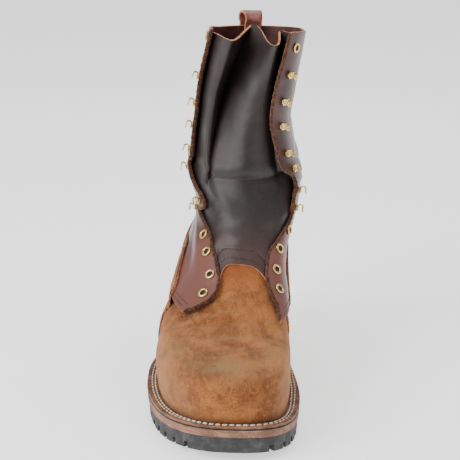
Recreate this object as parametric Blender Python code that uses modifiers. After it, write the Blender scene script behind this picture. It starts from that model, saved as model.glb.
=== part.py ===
"""Tall lace-up work boot for the right foot, standing empty and unlaced.

X runs towards the inner (medial) side of the foot, Y towards the heel and Z up.
The origin lies on the floor under the ball of the foot, in the flat of the tread.
"""
import bmesh
import bpy
import math
from functools import lru_cache

import numpy as np
from mathutils import Matrix, Vector

# Driving sizes in metres.
SOLE_LENGTH = 0.325
BALL_HALF = 0.0645
ORIGIN_FROM_TOE = 0.112
FOOT_RISE = 0.0915
LEG_RISE = 0.1815
TREAD = 0.0126
MIDSOLE = 0.0064
WELT = 0.0025
TOE_SPRING = 0.008
SPRING_START = 0.075
SHANK_START = 0.150
HEEL_BREAST = 0.236
HEEL_RISE = 0.014
FOREPART_END = 0.206
GAP = 0.0004
SUEDE = 0.0022
SHAFT_LEATHER = 0.0024
TONGUE_LEATHER = 0.0018
COUNTER_LEATHER = 0.0022
COUNTER_GAP = 0.0010
FACING_SLACK = 0.0010
INSOLE = 0.0032
TREAD_INSET = 0.0015
LUG_DEPTH = 0.0052
LUG_GROOVE = 0.0042
LUG_STEP = 0.0150
LUG_REACH = 0.0150
HEEL_LIFTS = 3
TONGUE_LAP = 0.012
HARDWARE_INSET = 0.0085
HOOK_WIDTH = 0.0052
HOOK_METAL = 0.0011
HOOK_HEIGHT = 0.0058
EYELET_OUTER = 0.0045
EYELET_HOLE = 0.0022
EYELET_HEIGHT = 0.0013
LOOP_WIDTH = 0.019
LOOP_LEATHER = 0.0022
LOOP_RISE = 0.013

# One row per ring of the boot's form, from the sole to the collar. front and back are
# shares of SOLE_LENGTH, foot and leg are the heights at the front and the back as shares
# of FOOT_RISE and LEG_RISE, the widest points are shares of SOLE_LENGTH, half widths,
# tip, heel and waist are shares of BALL_HALF, and the powers set how square a quarter is.
RING_COLUMNS = (
    "front", "back", "foot_front", "foot_back", "leg_front", "leg_back",
    "widest_lateral", "widest_medial", "lateral", "medial", "tip", "heel",
    "power_lateral", "power_medial", "power_back", "waist",
)
RINGS = (
    (0.026, 0.991, 0.00, 0.00, 0.00, 0.00, 0.43, 0.27, 0.86, 0.86, 0.19, 0.00, 2.3, 2.5, 2.5, 0.14),
    (0.020, 0.997, 0.10, 0.11, 0.00, 0.00, 0.43, 0.27, 0.88, 0.88, 0.19, 0.00, 2.3, 2.5, 2.5, 0.14),
    (0.022, 1.000, 0.22, 0.24, 0.00, 0.00, 0.43, 0.27, 0.88, 0.88, 0.19, 0.00, 2.3, 2.5, 2.5, 0.13),
    (0.040, 0.998, 0.32, 0.37, 0.00, 0.00, 0.43, 0.28, 0.85, 0.87, 0.19, 0.00, 2.3, 2.5, 2.5, 0.12),
    (0.074, 0.994, 0.39, 0.49, 0.00, 0.00, 0.43, 0.29, 0.81, 0.84, 0.19, 0.00, 2.3, 2.4, 2.5, 0.10),
    (0.123, 0.988, 0.43, 0.60, 0.00, 0.00, 0.44, 0.32, 0.77, 0.80, 0.19, 0.00, 2.2, 2.3, 2.5, 0.08),
    (0.185, 0.982, 0.47, 0.71, 0.00, 0.00, 0.46, 0.37, 0.73, 0.77, 0.20, 0.00, 2.2, 2.2, 2.5, 0.06),
    (0.252, 0.975, 0.53, 0.82, 0.00, 0.00, 0.50, 0.43, 0.69, 0.76, 0.21, 0.00, 2.1, 2.2, 2.5, 0.04),
    (0.320, 0.971, 0.65, 0.93, 0.00, 0.00, 0.55, 0.49, 0.64, 0.73, 0.21, 0.00, 2.1, 2.2, 2.5, 0.02),
    (0.382, 0.966, 0.81, 1.04, 0.00, 0.00, 0.60, 0.55, 0.56, 0.70, 0.21, 0.01, 2.1, 2.2, 2.5, 0.00),
    (0.440, 0.962, 1.00, 1.16, 0.00, 0.00, 0.65, 0.61, 0.48, 0.71, 0.21, 0.02, 2.2, 2.2, 2.4, 0.00),
    (0.486, 0.957, 1.00, 1.16, 0.09, 0.07, 0.69, 0.66, 0.42, 0.76, 0.21, 0.03, 2.4, 2.2, 2.4, 0.00),
    (0.523, 0.951, 1.00, 1.16, 0.19, 0.15, 0.72, 0.70, 0.44, 0.83, 0.22, 0.05, 2.8, 2.2, 2.3, 0.00),
    (0.548, 0.945, 1.00, 1.16, 0.29, 0.24, 0.74, 0.73, 0.54, 0.84, 0.22, 0.07, 3.2, 2.3, 2.3, 0.00),
    (0.563, 0.941, 1.00, 1.16, 0.39, 0.32, 0.75, 0.74, 0.50, 0.77, 0.22, 0.09, 3.6, 2.3, 2.3, 0.00),
    (0.575, 0.938, 1.00, 1.16, 0.56, 0.45, 0.75, 0.75, 0.45, 0.71, 0.22, 0.11, 4.0, 2.3, 2.3, 0.00),
    (0.582, 0.937, 1.00, 1.16, 0.71, 0.56, 0.75, 0.75, 0.40, 0.76, 0.23, 0.13, 4.0, 2.4, 2.3, 0.00),
    (0.585, 0.936, 1.00, 1.16, 0.88, 0.70, 0.75, 0.75, 0.31, 0.83, 0.24, 0.15, 4.0, 2.4, 2.3, 0.00),
    (0.585, 0.934, 1.00, 1.16, 1.00, 0.79, 0.75, 0.75, 0.25, 0.88, 0.25, 0.16, 4.0, 2.4, 2.3, 0.00),
)
COLLAR_RING = len(RINGS) - 1
SEAM_RING = 7.0
TAB_RING = 10.35
UPPER_BEHIND = 0.25
COUNTER_FOOT = 0.1
COUNTER_TOP = 9.3
COUNTER_DIP = 1.1
TONGUE_FOOT = 9.95
TONGUE_ARCH = 1.75
TONGUE_BELOW_COLLAR = 0.25
FOLD_START = 11.6
FOLD_RUN = 2.0
LOOP_RINGS = (16.9, 17.3, 17.7)
# The sole's rim in the same columns as a ring.
SOLE_RIM = (0.0, 1.0, 0, 0, 0, 0, 0.43, 0.26, 1.0, 1.0, 0.19, 0.0, 2.3, 2.5, 2.4, 0.20)

# Where the two raw facing edges run, per ring: sideways places as shares of BALL_HALF.
FACINGS = (
    (7.0, -0.50, 0.70),
    (8.0, -0.25, 0.65),
    (8.5, -0.12, 0.59),
    (9.0, -0.06, 0.54),
    (9.5, -0.08, 0.51),
    (10.3, -0.16, 0.53),
    (10.9, -0.22, 0.64),
    (11.4, -0.35, 0.74),
    (11.8, -0.28, 0.76),
    (12.2, -0.31, 0.78),
    (12.7, -0.45, 0.80),
    (13.2, -0.52, 0.76),
    (13.7, -0.48, 0.65),
    (14.4, -0.47, 0.57),
    (15.0, -0.43, 0.51),
    (15.6, -0.41, 0.52),
    (16.3, -0.37, 0.58),
    (17.0, -0.29, 0.66),
    (18.0, -0.21, 0.73),
)

# Folds of the tongue seen from above, per ring: pairs of a sideways place as a share of
# BALL_HALF and a place along the foot as a share of SOLE_LENGTH.
TONGUE_COLUMNS = ("ring", "bulge", "valley", "ridge", "panel", "tip", "pocket")
TONGUE_FOLDS = (
    (13.4, (-0.32, 0.61), (-0.27, 0.62), (-0.18, 0.60), (0.18, 0.58), (0.50, 0.60), (0.62, 0.62)),
    (14.0, (-0.33, 0.63), (-0.28, 0.65), (-0.18, 0.62), (0.18, 0.59), (0.48, 0.61), (0.58, 0.63)),
    (15.0, (-0.29, 0.65), (-0.20, 0.70), (-0.09, 0.66), (0.18, 0.62), (0.44, 0.62), (0.54, 0.65)),
    (16.0, (-0.22, 0.65), (-0.11, 0.73), (0.02, 0.69), (0.25, 0.64), (0.47, 0.63), (0.57, 0.67)),
    (17.0, (-0.08, 0.64), (0.06, 0.74), (0.14, 0.74), (0.34, 0.67), (0.56, 0.62), (0.60, 0.68)),
    (18.0, (0.03, 0.62), (0.17, 0.73), (0.28, 0.77), (0.47, 0.69), (0.64, 0.61), (0.62, 0.69)),
)

# Rings of the lacing fittings, from the throat up to the collar. The outer facing has
# slumped, so its fittings lie lower.
FITTING_COLUMNS = ("kind", "lateral", "medial")
FITTINGS = (
    ("eyelet", 8.40, 8.63),
    ("eyelet", 9.23, 9.50),
    ("eyelet", 9.99, 10.33),
    ("eyelet", 10.60, 10.98),
    ("hook", 11.40, 11.73),
    ("hook", 11.95, 12.40),
    ("hook", 13.03, 13.47),
    ("hook", 13.82, 14.19),
    ("hook", 14.54, 14.96),
    ("hook", 15.29, 15.77),
    ("hook", 16.17, 16.51),
    ("eyelet", 17.55, 17.32),
)

# Shares of the upper's rise at which its rows lie, closer together at the feather.
UPPER_ROWS = (0, 0.09, 0.19, 0.30, 0.41, 0.51, 0.60, 0.68, 0.76, 0.84, 0.92, 1.0)

# Stations along the foot, as shares of SOLE_LENGTH, where the flat plates are bent.
BENDS = (0.02, 0.05, 0.09, 0.14, 0.19, 0.24, 0.46, 0.51, 0.56, 0.61, 0.66, 0.71)

# Middles of the bars cut across the treads, as shares of SOLE_LENGTH.
FOREPART_BARS = (0.14, 0.21, 0.28, 0.41, 0.48, 0.55)
HEEL_BARS = (0.80, 0.87)

# Front edge of the counter, per ring, as a share of SOLE_LENGTH.
COUNTER_FRONT = ((0.0, 0.47), (3.0, 0.44), (5.0, 0.42), (7.0, 0.43), (8.0, 0.49), (9.3, 0.61))


def spline(rows, place):
    """Catmull-Rom curve through equally spaced rows, read at a fractional row number."""
    rows = np.asarray(rows, float)
    place = min(max(place, 0.0), len(rows) - 1.0)
    first = min(int(place), len(rows) - 2)
    t = place - first
    p0 = rows[max(first - 1, 0)]
    p1 = rows[first]
    p2 = rows[first + 1]
    p3 = rows[min(first + 2, len(rows) - 1)]
    bend = 2 * p0 - 5 * p1 + 4 * p2 - p3
    twist = 3 * (p1 - p2) + p3 - p0
    return 0.5 * (2 * p1 + (p2 - p0) * t + bend * t * t + twist * t ** 3)


def spline_by(keys, rows, key):
    """The same curve, where keys gives the place of each row."""
    return spline(rows, float(np.interp(key, keys, range(len(keys)))))


def smooth(t):
    t = min(max(t, 0.0), 1.0)
    return t * t * (3 - 2 * t)


def sole_bottom(along):
    """Height of the tread line: toe spring, flat forepart, then the arch up to the heel."""
    spring = TOE_SPRING * max(0.0, 1 - along / SPRING_START) ** 2
    return spring + HEEL_RISE * smooth((along - SHANK_START) / (HEEL_BREAST - SHANK_START))


def sole_top(along):
    return sole_bottom(along) + TREAD + MIDSOLE + WELT + 2 * GAP


def quarter(angle, power):
    """Unit superellipse: along the foot and across it."""
    along = abs(math.cos(angle)) ** (2 / power)
    across = abs(math.sin(angle)) ** (2 / power)
    return along, across


def ring_plan(row, side, angle):
    """Plan place on a ring: across and along, at an angle from the front to the back."""
    ring = dict(zip(RING_COLUMNS, row))
    name = "medial" if side > 0 else "lateral"
    widest = ring["widest_" + name]
    if angle <= math.pi / 2:
        along, across = quarter(angle, ring["power_" + name])
        place = widest - (widest - ring["front"]) * along
        axis = ring["tip"] * along ** 2
        half = ring[name] * across
    else:
        along, across = quarter(angle, ring["power_back"])
        place = widest + (ring["back"] - widest) * along
        axis = ring["heel"] * along ** 2
        half = ring[name] * across - ring["waist"] * math.sin(math.pi * along) ** 1.5
    return (axis + side * half) * BALL_HALF, place * SOLE_LENGTH


@lru_cache(maxsize=None)
def ring_side(level, side):
    """One side of a ring, as points in order from front to back and their shares of its run."""
    row = spline(RINGS, level)
    ring = dict(zip(RING_COLUMNS, row))
    follow = 1 - smooth(level / 6)
    front = ring["front"] * SOLE_LENGTH
    back = ring["back"] * SOLE_LENGTH
    rise_front = ring["foot_front"] * FOOT_RISE + ring["leg_front"] * LEG_RISE
    rise_back = ring["foot_back"] * FOOT_RISE + ring["leg_back"] * LEG_RISE
    points = []
    for step in range(121):
        across, along = ring_plan(row, side, math.pi * step / 120)
        share = (along - front) / (back - front)
        line = (1 - share) * sole_top(front) + share * sole_top(back)
        ground = follow * sole_top(along) + (1 - follow) * line
        rise = (1 - share) * rise_front + share * rise_back
        points.append((across, along - ORIGIN_FROM_TOE, ground + rise + GAP))
    points = np.array(points)
    run = np.concatenate([[0.0], np.cumsum(np.linalg.norm(np.diff(points, axis=0), axis=1))])
    return points, run / run[-1], run[-1]


def form_point(level, around):
    """Point on the boot's form: around is 0 at the front, -1 and 1 at the back."""
    if around > 1:
        around -= 2
    if around < -1:
        around += 2
    points, shares, _ = ring_side(round(level, 6), 1 if around >= 0 else -1)
    return np.array([np.interp(abs(around), shares, points[:, k]) for k in range(3)])


def form_normal(level, around):
    step = 0.012
    low = max(level - 0.15, 0.0)
    high = min(level + 0.15, COLLAR_RING)
    sideways = form_point(level, around + step) - form_point(level, around - step)
    upwards = form_point(high, around) - form_point(low, around)
    normal = np.cross(sideways, upwards)
    return normal / np.linalg.norm(normal)


def form(level, around, offset):
    return form_point(level, around) + form_normal(level, around) * offset


def facing_around(level, side):
    """Where a raw facing edge lies on its ring."""
    keys = [row[0] for row in FACINGS]
    edge = spline_by(keys, [row[1:] for row in FACINGS], level)[1 if side > 0 else 0] * BALL_HALF
    points, shares, _ = ring_side(round(level, 6), side)
    widest = int(np.argmax(side * points[:, 0]))
    return side * float(np.interp(side * edge, side * points[:widest + 1, 0], shares[:widest + 1]))


def along_around(level, side, along):
    """Where a ring passes a given distance from the toe on one side."""
    points, shares, _ = ring_side(round(level, 6), side)
    return side * float(np.interp(along - ORIGIN_FROM_TOE, points[:, 1], shares))


def link(scene_object, material, collection):
    scene_object.data.materials.append(material)
    collection.objects.link(scene_object)
    return scene_object


def make_material(name, colour, roughness, metallic=0.0):
    material = bpy.data.materials.new(name)
    material.use_nodes = True
    shader = material.node_tree.nodes["Principled BSDF"]
    shader.inputs["Base Color"].default_value = (*colour, 1)
    shader.inputs["Roughness"].default_value = roughness
    shader.inputs["Metallic"].default_value = metallic
    return material


def sheet(name, rows, closed, material, collection, wall):
    """Leather cut to a lofted surface: rows of points, given its wall on the outer side."""
    bm = bmesh.new()
    grid = [[bm.verts.new(point) for point in row] for row in rows]
    width = len(rows[0])
    for low, high in zip(grid, grid[1:]):
        for column in range(width if closed else width - 1):
            after = (column + 1) % width
            bm.faces.new((low[column], high[column], high[after], low[after]))
    mesh = bpy.data.meshes.new(name)
    bm.to_mesh(mesh)
    bm.free()
    mesh.shade_smooth()
    piece = link(bpy.data.objects.new(name, mesh), material, collection)
    solid = piece.modifiers.new("wall", "SOLIDIFY")
    solid.thickness = wall
    solid.offset = 1.0
    return piece


def make_upper(material, collection):
    """Suede foot body: up to its tab at the throat, and to the quarters' seam behind it."""
    per_side = 28
    arounds = [-k / per_side for k in range(per_side + 1)]
    arounds += [k / per_side for k in range(per_side - 1, 0, -1)]
    rows = []
    for share in UPPER_ROWS:
        row = []
        for around in arounds:
            behind = smooth((abs(around) - 0.24) / 0.12)
            top = TAB_RING + (SEAM_RING - UPPER_BEHIND - TAB_RING) * behind
            row.append(form(top * share, around, -SUEDE))
        rows.append(row)
    return sheet("upper", rows, True, material, collection, SUEDE)


def shaft_base(level, around, side):
    """Clearance of the shaft's inner face: it makes room for the tongue near the facings."""
    _, _, run = ring_side(round(level, 6), side)
    past = (abs(around) - abs(facing_around(level, side))) * run
    room = TONGUE_LEATHER + FACING_SLACK
    return GAP + room * (1 - smooth((past - 2 * TONGUE_LAP) / (2 * TONGUE_LAP)))


def column_share(past):
    """Spread of a sleeve's columns, closer together at its free edge and round the heel."""
    return 0.4 * past + 0.3 * (1 - math.cos(math.pi * past))


def make_shaft(material, collection):
    """Quarters and leg in one sleeve, from one facing round the back to the other."""
    per_side = 12
    steps = 24
    rows = []
    for step in range(steps + 1):
        level = SEAM_RING + (COLLAR_RING - SEAM_RING) * step / steps
        row = []
        for column in range(-per_side, per_side + 1):
            side = -1 if column < 0 else 1
            edge = facing_around(level, side)
            around = edge + (side - edge) * column_share(1 - abs(column) / per_side)
            row.append(form(level, around, shaft_base(level, around, side)))
        rows.append(row)
    return sheet("shaft", rows, False, material, collection, SHAFT_LEATHER)


def make_counter(material, collection):
    """Suede overlay round the heel, over the seam of the upper and the quarters."""
    keys = [row[0] for row in COUNTER_FRONT]
    fronts = [[row[1]] for row in COUNTER_FRONT]
    per_side = 13
    steps = 10
    rows = []
    for step in range(steps + 1):
        row = []
        for column in range(-per_side, per_side + 1):
            side = -1 if column < 0 else 1
            past = column_share(1 - abs(column) / per_side)
            top = COUNTER_TOP - COUNTER_DIP * math.sin(math.pi * past * 0.62) ** 1.2
            level = COUNTER_FOOT + (top - COUNTER_FOOT) * step / steps
            front = float(spline_by(keys, fronts, level)[0]) * SOLE_LENGTH
            edge = along_around(level, side, front)
            around = edge + (side - edge) * past
            over = shaft_base(level, around, side) + SHAFT_LEATHER + COUNTER_GAP
            lap = smooth((level - 4.2) / 2.0)
            row.append(form(level, around, COUNTER_GAP + (over - COUNTER_GAP) * lap))
        rows.append(row)
    return sheet("counter", rows, False, material, collection, COUNTER_LEATHER)


def tongue_fold(level, place):
    """Plan place of the folded tongue at a share of its width."""
    keys = [row[0] for row in TONGUE_FOLDS]
    folds = [np.array(row[1:]).ravel() for row in TONGUE_FOLDS]
    plan = spline_by(keys, folds, max(level, keys[0])).reshape(-1, 2) * (BALL_HALF, SOLE_LENGTH)
    plan[:, 1] -= ORIGIN_FROM_TOE
    ends = [form(level, tongue_edge(level, side), GAP)[:2] for side in (-1, 1)]
    return spline([ends[0], *plan, ends[1]], place * (len(plan) + 1))


def tongue_edge(level, side):
    """The tongue's sewn edge runs under the facing by its lap."""
    _, _, run = ring_side(round(level, 6), side)
    return facing_around(level, side) + side * TONGUE_LAP / run


def make_tongue(material, collection):
    """Tongue sewn round the tab, on the form below and in folds above."""
    columns = 20
    steps = 17
    top = COLLAR_RING - TONGUE_BELOW_COLLAR
    rows = []
    for step in range(steps + 1):
        row = []
        for column in range(columns + 1):
            place = column / columns
            arch = abs(2 * place - 1) ** 1.6
            bottom = TONGUE_FOOT - TONGUE_ARCH * arch
            level = bottom + (top - bottom) * step / steps
            low = tongue_edge(level, -1)
            high = tongue_edge(level, 1)
            flat = form(level, low + (high - low) * place, GAP)
            fold = smooth((level - FOLD_START) / FOLD_RUN)
            plan = tongue_fold(level, place)
            row.append(flat * (1 - fold) + np.array([*plan, flat[2]]) * fold)
        rows.append(row[::-1])
    return sheet("tongue", rows, False, material, collection, TONGUE_LEATHER)


def rim(grow=0.0, count=60, row=SOLE_RIM):
    """Plan outline of the sole, moved outwards by grow, in order round the foot."""
    per_side = count // 2
    outline = []
    for side, steps in ((-1, range(per_side)), (1, range(per_side, 0, -1))):
        points = np.array([ring_plan(row, side, math.pi * k / 240) for k in range(241)])
        run = np.concatenate([[0], np.cumsum(np.linalg.norm(np.diff(points, axis=0), axis=1))])
        for step in steps:
            share = step / per_side * run[-1]
            outline.append([np.interp(share, run, points[:, k]) for k in range(2)])
    outline = np.array(outline)
    ahead = np.roll(outline, -1, axis=0) - np.roll(outline, 1, axis=0)
    ahead /= np.linalg.norm(ahead, axis=1)[:, None]
    outward = np.stack([-ahead[:, 1], ahead[:, 0]], axis=1)
    return outline + outward * grow


def plate(name, outline, bottom, top, start, end, hole=None):
    """Flat plate with the outline, cut square at start and end along the foot."""
    bm = bmesh.new()
    loop = [bm.verts.new((x, y, bottom)) for x, y in outline]
    edges = [bm.edges.new(pair) for pair in zip(loop, loop[1:] + loop[:1])]
    if hole is not None:
        inner = [bm.verts.new((x, y, bottom)) for x, y in hole]
        for k in range(len(loop)):
            after = (k + 1) % len(loop)
            bm.faces.new((loop[k], loop[after], inner[after], inner[k]))
    else:
        bmesh.ops.contextual_create(bm, geom=edges)
    for place, keep in ((start, 1), (end, -1)):
        if place is not None:
            geometry = bm.verts[:] + bm.edges[:] + bm.faces[:]
            bmesh.ops.bisect_plane(bm, geom=geometry, plane_co=(0, place, 0),
                                   plane_no=(0, -keep, 0), clear_outer=True)
    body = bmesh.ops.extrude_face_region(bm, geom=bm.faces[:])
    moved = [part for part in body["geom"] if isinstance(part, bmesh.types.BMVert)]
    bmesh.ops.translate(bm, vec=(0, 0, top - bottom), verts=moved)
    bmesh.ops.recalc_face_normals(bm, faces=bm.faces[:])
    mesh = bpy.data.meshes.new(name)
    bm.to_mesh(mesh)
    bm.free()
    return mesh


def bend(mesh, curved):
    """Cut a flat plate across at its stations and, if curved, let it follow the bottom line."""
    bm = bmesh.new()
    bm.from_mesh(mesh)
    for share in BENDS:
        geometry = bm.verts[:] + bm.edges[:] + bm.faces[:]
        place = share * SOLE_LENGTH
        bmesh.ops.bisect_plane(bm, geom=geometry, plane_co=(0, place, 0), plane_no=(0, 1, 0))
    for vert in bm.verts:
        vert.co.z += sole_bottom(vert.co.y) if curved else 0.0
        vert.co.y -= ORIGIN_FROM_TOE
    bmesh.ops.recalc_face_normals(bm, faces=bm.faces[:])
    bm.to_mesh(mesh)
    bm.free()
    return mesh


def groove_boxes(outline, start, end, middle):
    """Boxes that cut the lugs: notches round the edge and bars across the middle."""
    bm = bmesh.new()
    run = np.concatenate([[0], np.cumsum(np.linalg.norm(np.diff(outline, axis=0), axis=1))])
    count = int(run[-1] / LUG_STEP)
    for k in range(count):
        here = (k + 0.5) * run[-1] / count
        x, y = (float(np.interp(here, run, outline[:, axis])) for axis in range(2))
        if not start + LUG_STEP / 2 < y < end - LUG_STEP / 2:
            continue
        ahead = np.array([np.interp(here + 0.002, run, outline[:, a]) for a in range(2)])
        behind = np.array([np.interp(here - 0.002, run, outline[:, a]) for a in range(2)])
        turn = math.atan2(*(ahead - behind)[::-1])
        place = Matrix.Translation((x, y, 0)) @ Matrix.Rotation(turn, 4, "Z")
        size = Matrix.Diagonal((LUG_GROOVE, 2 * LUG_REACH, 2 * LUG_DEPTH, 1))
        bmesh.ops.create_cube(bm, size=1, matrix=place @ size)
    for share in middle:
        place = Matrix.Translation((0, share * SOLE_LENGTH, 0))
        size = Matrix.Diagonal((BALL_HALF, LUG_GROOVE, 2 * LUG_DEPTH, 1))
        bmesh.ops.create_cube(bm, size=1, matrix=place @ size)
    mesh = bpy.data.meshes.new("grooves")
    bm.to_mesh(mesh)
    bm.free()
    return mesh


def cut(mesh, grooves, cutters):
    """Take the grooves out of a flat tread and return the cut mesh."""
    blank = bpy.data.objects.new("tread_blank", mesh)
    tool = bpy.data.objects.new("tread_cutter", grooves)
    for item in (blank, tool):
        cutters.objects.link(item)
        item.hide_render = True
        item.display_type = "WIRE"
    boolean = blank.modifiers.new("lugs", "BOOLEAN")
    boolean.operation = "DIFFERENCE"
    boolean.object = tool
    boolean.use_self = True
    graph = bpy.context.evaluated_depsgraph_get()
    result = bpy.data.meshes.new_from_object(blank.evaluated_get(graph))
    bpy.data.objects.remove(blank)
    return result


def make_sole(materials, collection, cutters):
    """Treads, heel stack, midsole, welt and insole, from the floor up."""
    rubber = rim(-TREAD_INSET)
    layers = []
    tread = plate("outsole", rubber, 0.0, TREAD, None, FOREPART_END)
    grooves = groove_boxes(rubber, 0.0, FOREPART_END, FOREPART_BARS)
    layers.append(("outsole", cut(tread, grooves, cutters), True, "rubber"))
    lift = HEEL_RISE / HEEL_LIFTS - GAP
    cap = plate("heel_cap", rubber, 0.0, TREAD, HEEL_BREAST, None)
    grooves = groove_boxes(rubber, HEEL_BREAST, SOLE_LENGTH + LUG_STEP, HEEL_BARS)
    layers.append(("heel_cap", cut(cap, grooves, cutters), False, "rubber"))
    for k in range(HEEL_LIFTS):
        bottom = TREAD + GAP + k * (lift + GAP)
        name = f"heel_lift_{k + 1}"
        outline = rim(-TREAD_INSET * 0.4 * (HEEL_LIFTS - k) / HEEL_LIFTS)
        mesh = plate(name, outline, bottom, bottom + lift, HEEL_BREAST, None)
        layers.append((name, mesh, False, "stack"))
    base = TREAD + GAP
    layers.append(("midsole", plate("midsole", rim(), base, base + MIDSOLE, None, None), True, "stack"))
    base += MIDSOLE + GAP
    feather = np.array([form(0, around, -SUEDE)[:2] for around in
                        [-k / 30 for k in range(30)] + [k / 30 for k in range(30, 0, -1)]])
    feather[:, 1] += ORIGIN_FROM_TOE
    layers.append(("welt", plate("welt", rim(), base, base + WELT, None, None, feather), True, "welt"))
    centre = feather.mean(axis=0)
    inner = centre + (feather - centre) * (1 - 2 * GAP / BALL_HALF)
    layers.append(("insole", plate("insole", inner, base, base + WELT + INSOLE, None, None), True, "insole"))
    for name, mesh, lifted, material in layers:
        link(bpy.data.objects.new(name, bend(mesh, lifted)), materials[material], collection)


def surface_frame(level, around, side):
    """Place and turn of a fitting on the outer face of the shaft."""
    base = shaft_base(level, around, side) + SHAFT_LEATHER
    place = Vector(form(level, around, base))
    out = Vector(form_normal(level, around))
    along = Vector(form(level + 0.2, around, base)) - Vector(form(level - 0.2, around, base))
    across = along.cross(out).normalized()
    along = out.cross(across)
    turn = Matrix((across, along, out)).transposed().to_4x4()
    return Matrix.Translation(place + out * 1.5 * GAP) @ turn


def hook_mesh():
    """Speed hook: a base that lies on the leather and a lip that curls back over it."""
    reach = HOOK_HEIGHT * 0.62
    path = [(-reach, HOOK_METAL / 2), (0.1 * reach, HOOK_METAL / 2)]
    path += [(0.1 * reach + (HOOK_HEIGHT - HOOK_METAL) / 2 * math.sin(turn),
              HOOK_HEIGHT / 2 - (HOOK_HEIGHT - HOOK_METAL) / 2 * math.cos(turn))
             for turn in [math.pi * k / 4 for k in range(1, 5)]]
    path.append((-0.7 * reach, HOOK_HEIGHT - HOOK_METAL * 0.3))
    path = np.array(path)
    ahead = np.gradient(path, axis=0)
    ahead /= np.linalg.norm(ahead, axis=1)[:, None]
    side = np.stack([-ahead[:, 1], ahead[:, 0]], axis=1) * HOOK_METAL / 2
    outline = np.vstack([path + side, (path - side)[::-1]])
    bm = bmesh.new()
    half = HOOK_WIDTH / 2
    left = [bm.verts.new((-half, y, z)) for y, z in outline]
    right = [bm.verts.new((half, y, z)) for y, z in outline]
    last = len(outline) - 1
    for k in range(last + 1):
        after = (k + 1) % (last + 1)
        bm.faces.new((left[k], left[after], right[after], right[k]))
    for k in range(len(path) - 1):
        bm.faces.new((left[k], left[last - k], left[last - k - 1], left[k + 1]))
        bm.faces.new((right[k], right[k + 1], right[last - k - 1], right[last - k]))
    bmesh.ops.recalc_face_normals(bm, faces=bm.faces[:])
    mesh = bpy.data.meshes.new("hook")
    bm.to_mesh(mesh)
    bm.free()
    return mesh


def eyelet_mesh():
    """Rolled brass ring, turned from its section."""
    middle = (EYELET_OUTER + EYELET_HOLE) / 2
    section = ((EYELET_OUTER, 0), (EYELET_OUTER * 0.92, EYELET_HEIGHT * 0.7),
               (middle, EYELET_HEIGHT), (EYELET_HOLE, EYELET_HEIGHT * 0.4), (EYELET_HOLE, 0))
    bm = bmesh.new()
    loop = [bm.verts.new((x, 0, z)) for x, z in section]
    edges = [bm.edges.new(pair) for pair in zip(loop, loop[1:] + loop[:1])]
    bmesh.ops.spin(bm, geom=edges, axis=(0, 0, 1), cent=(0, 0, 0), steps=10,
                   angle=2 * math.pi, use_merge=True)
    bmesh.ops.remove_doubles(bm, verts=bm.verts[:], dist=0.00001)
    bmesh.ops.recalc_face_normals(bm, faces=bm.faces[:])
    mesh = bpy.data.meshes.new("eyelet")
    bm.to_mesh(mesh)
    bm.free()
    return mesh


def make_hardware(material, collection):
    """Four low eyelets, seven hooks and a top eyelet beside each facing."""
    shapes = {"hook": hook_mesh(), "eyelet": eyelet_mesh()}
    for mesh in shapes.values():
        mesh.materials.append(material)
    for side, name in ((-1, "lateral"), (1, "medial")):
        count = {"hook": 0, "eyelet": 0}
        for row in FITTINGS:
            fitting = dict(zip(FITTING_COLUMNS, row))
            kind = fitting["kind"]
            level = fitting[name]
            count[kind] += 1
            _, _, run = ring_side(round(level, 6), side)
            around = facing_around(level, side) + side * HARDWARE_INSET / run
            piece = bpy.data.objects.new(f"{kind}_{name}_{count[kind]}", shapes[kind])
            piece.matrix_world = surface_frame(level, around, side)
            collection.objects.link(piece)


def make_pull_loop(material, collection):
    """Strap over the back of the collar, sewn outside and inside."""
    columns = 4
    _, _, run = ring_side(COLLAR_RING, 1)
    half = LOOP_WIDTH / 2 / run
    arounds = [1 + half * (2 * k / columns - 1) for k in range(columns + 1)]
    outer = SHAFT_LEATHER + 2 * GAP
    inner = -LOOP_LEATHER - GAP
    middle = (outer + inner) / 2
    bulge = 0.8 * (outer - inner)
    rows = [[form(level, around, outer) for around in arounds] for level in LOOP_RINGS]
    for step in range(7):
        turn = math.pi * (step / 4 - 0.25)
        row = []
        for around in arounds:
            base = form(COLLAR_RING, around, middle + bulge * math.cos(turn))
            row.append(base + np.array([0, 0, LOOP_RISE * (0.5 + 0.4 * math.sin(turn))]))
        rows.append(row)
    rows += [[form(level, around, inner) for around in arounds] for level in LOOP_RINGS[::-1]]
    return sheet("pull_loop", [row[::-1] for row in rows], False, material, collection, LOOP_LEATHER)


def main():
    for item in list(bpy.data.objects):
        bpy.data.objects.remove(item)
    boot = bpy.data.collections.new("work_boot")
    cutters = bpy.data.collections.new("cutters")
    for collection in (boot, cutters):
        bpy.context.scene.collection.children.link(collection)
    suede = make_material("suede", (0.36, 0.15, 0.05), 0.9)
    smooth_leather = make_material("smooth_leather", (0.12, 0.035, 0.025), 0.4)
    dark_leather = make_material("dark_leather", (0.05, 0.025, 0.02), 0.5)
    brass = make_material("brass", (0.8, 0.6, 0.25), 0.25, 1.0)
    sole_materials = {
        "rubber": make_material("rubber", (0.03, 0.03, 0.03), 0.7),
        "stack": make_material("stacked_leather", (0.35, 0.2, 0.13), 0.6),
        "welt": make_material("welt_leather", (0.3, 0.18, 0.1), 0.6),
        "insole": make_material("insole_leather", (0.4, 0.27, 0.17), 0.7),
    }
    make_sole(sole_materials, boot, cutters)
    make_upper(suede, boot)
    make_shaft(smooth_leather, boot)
    make_counter(suede, boot)
    make_tongue(dark_leather, boot)
    make_pull_loop(smooth_leather, boot)
    make_hardware(brass, boot)


main()
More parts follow.
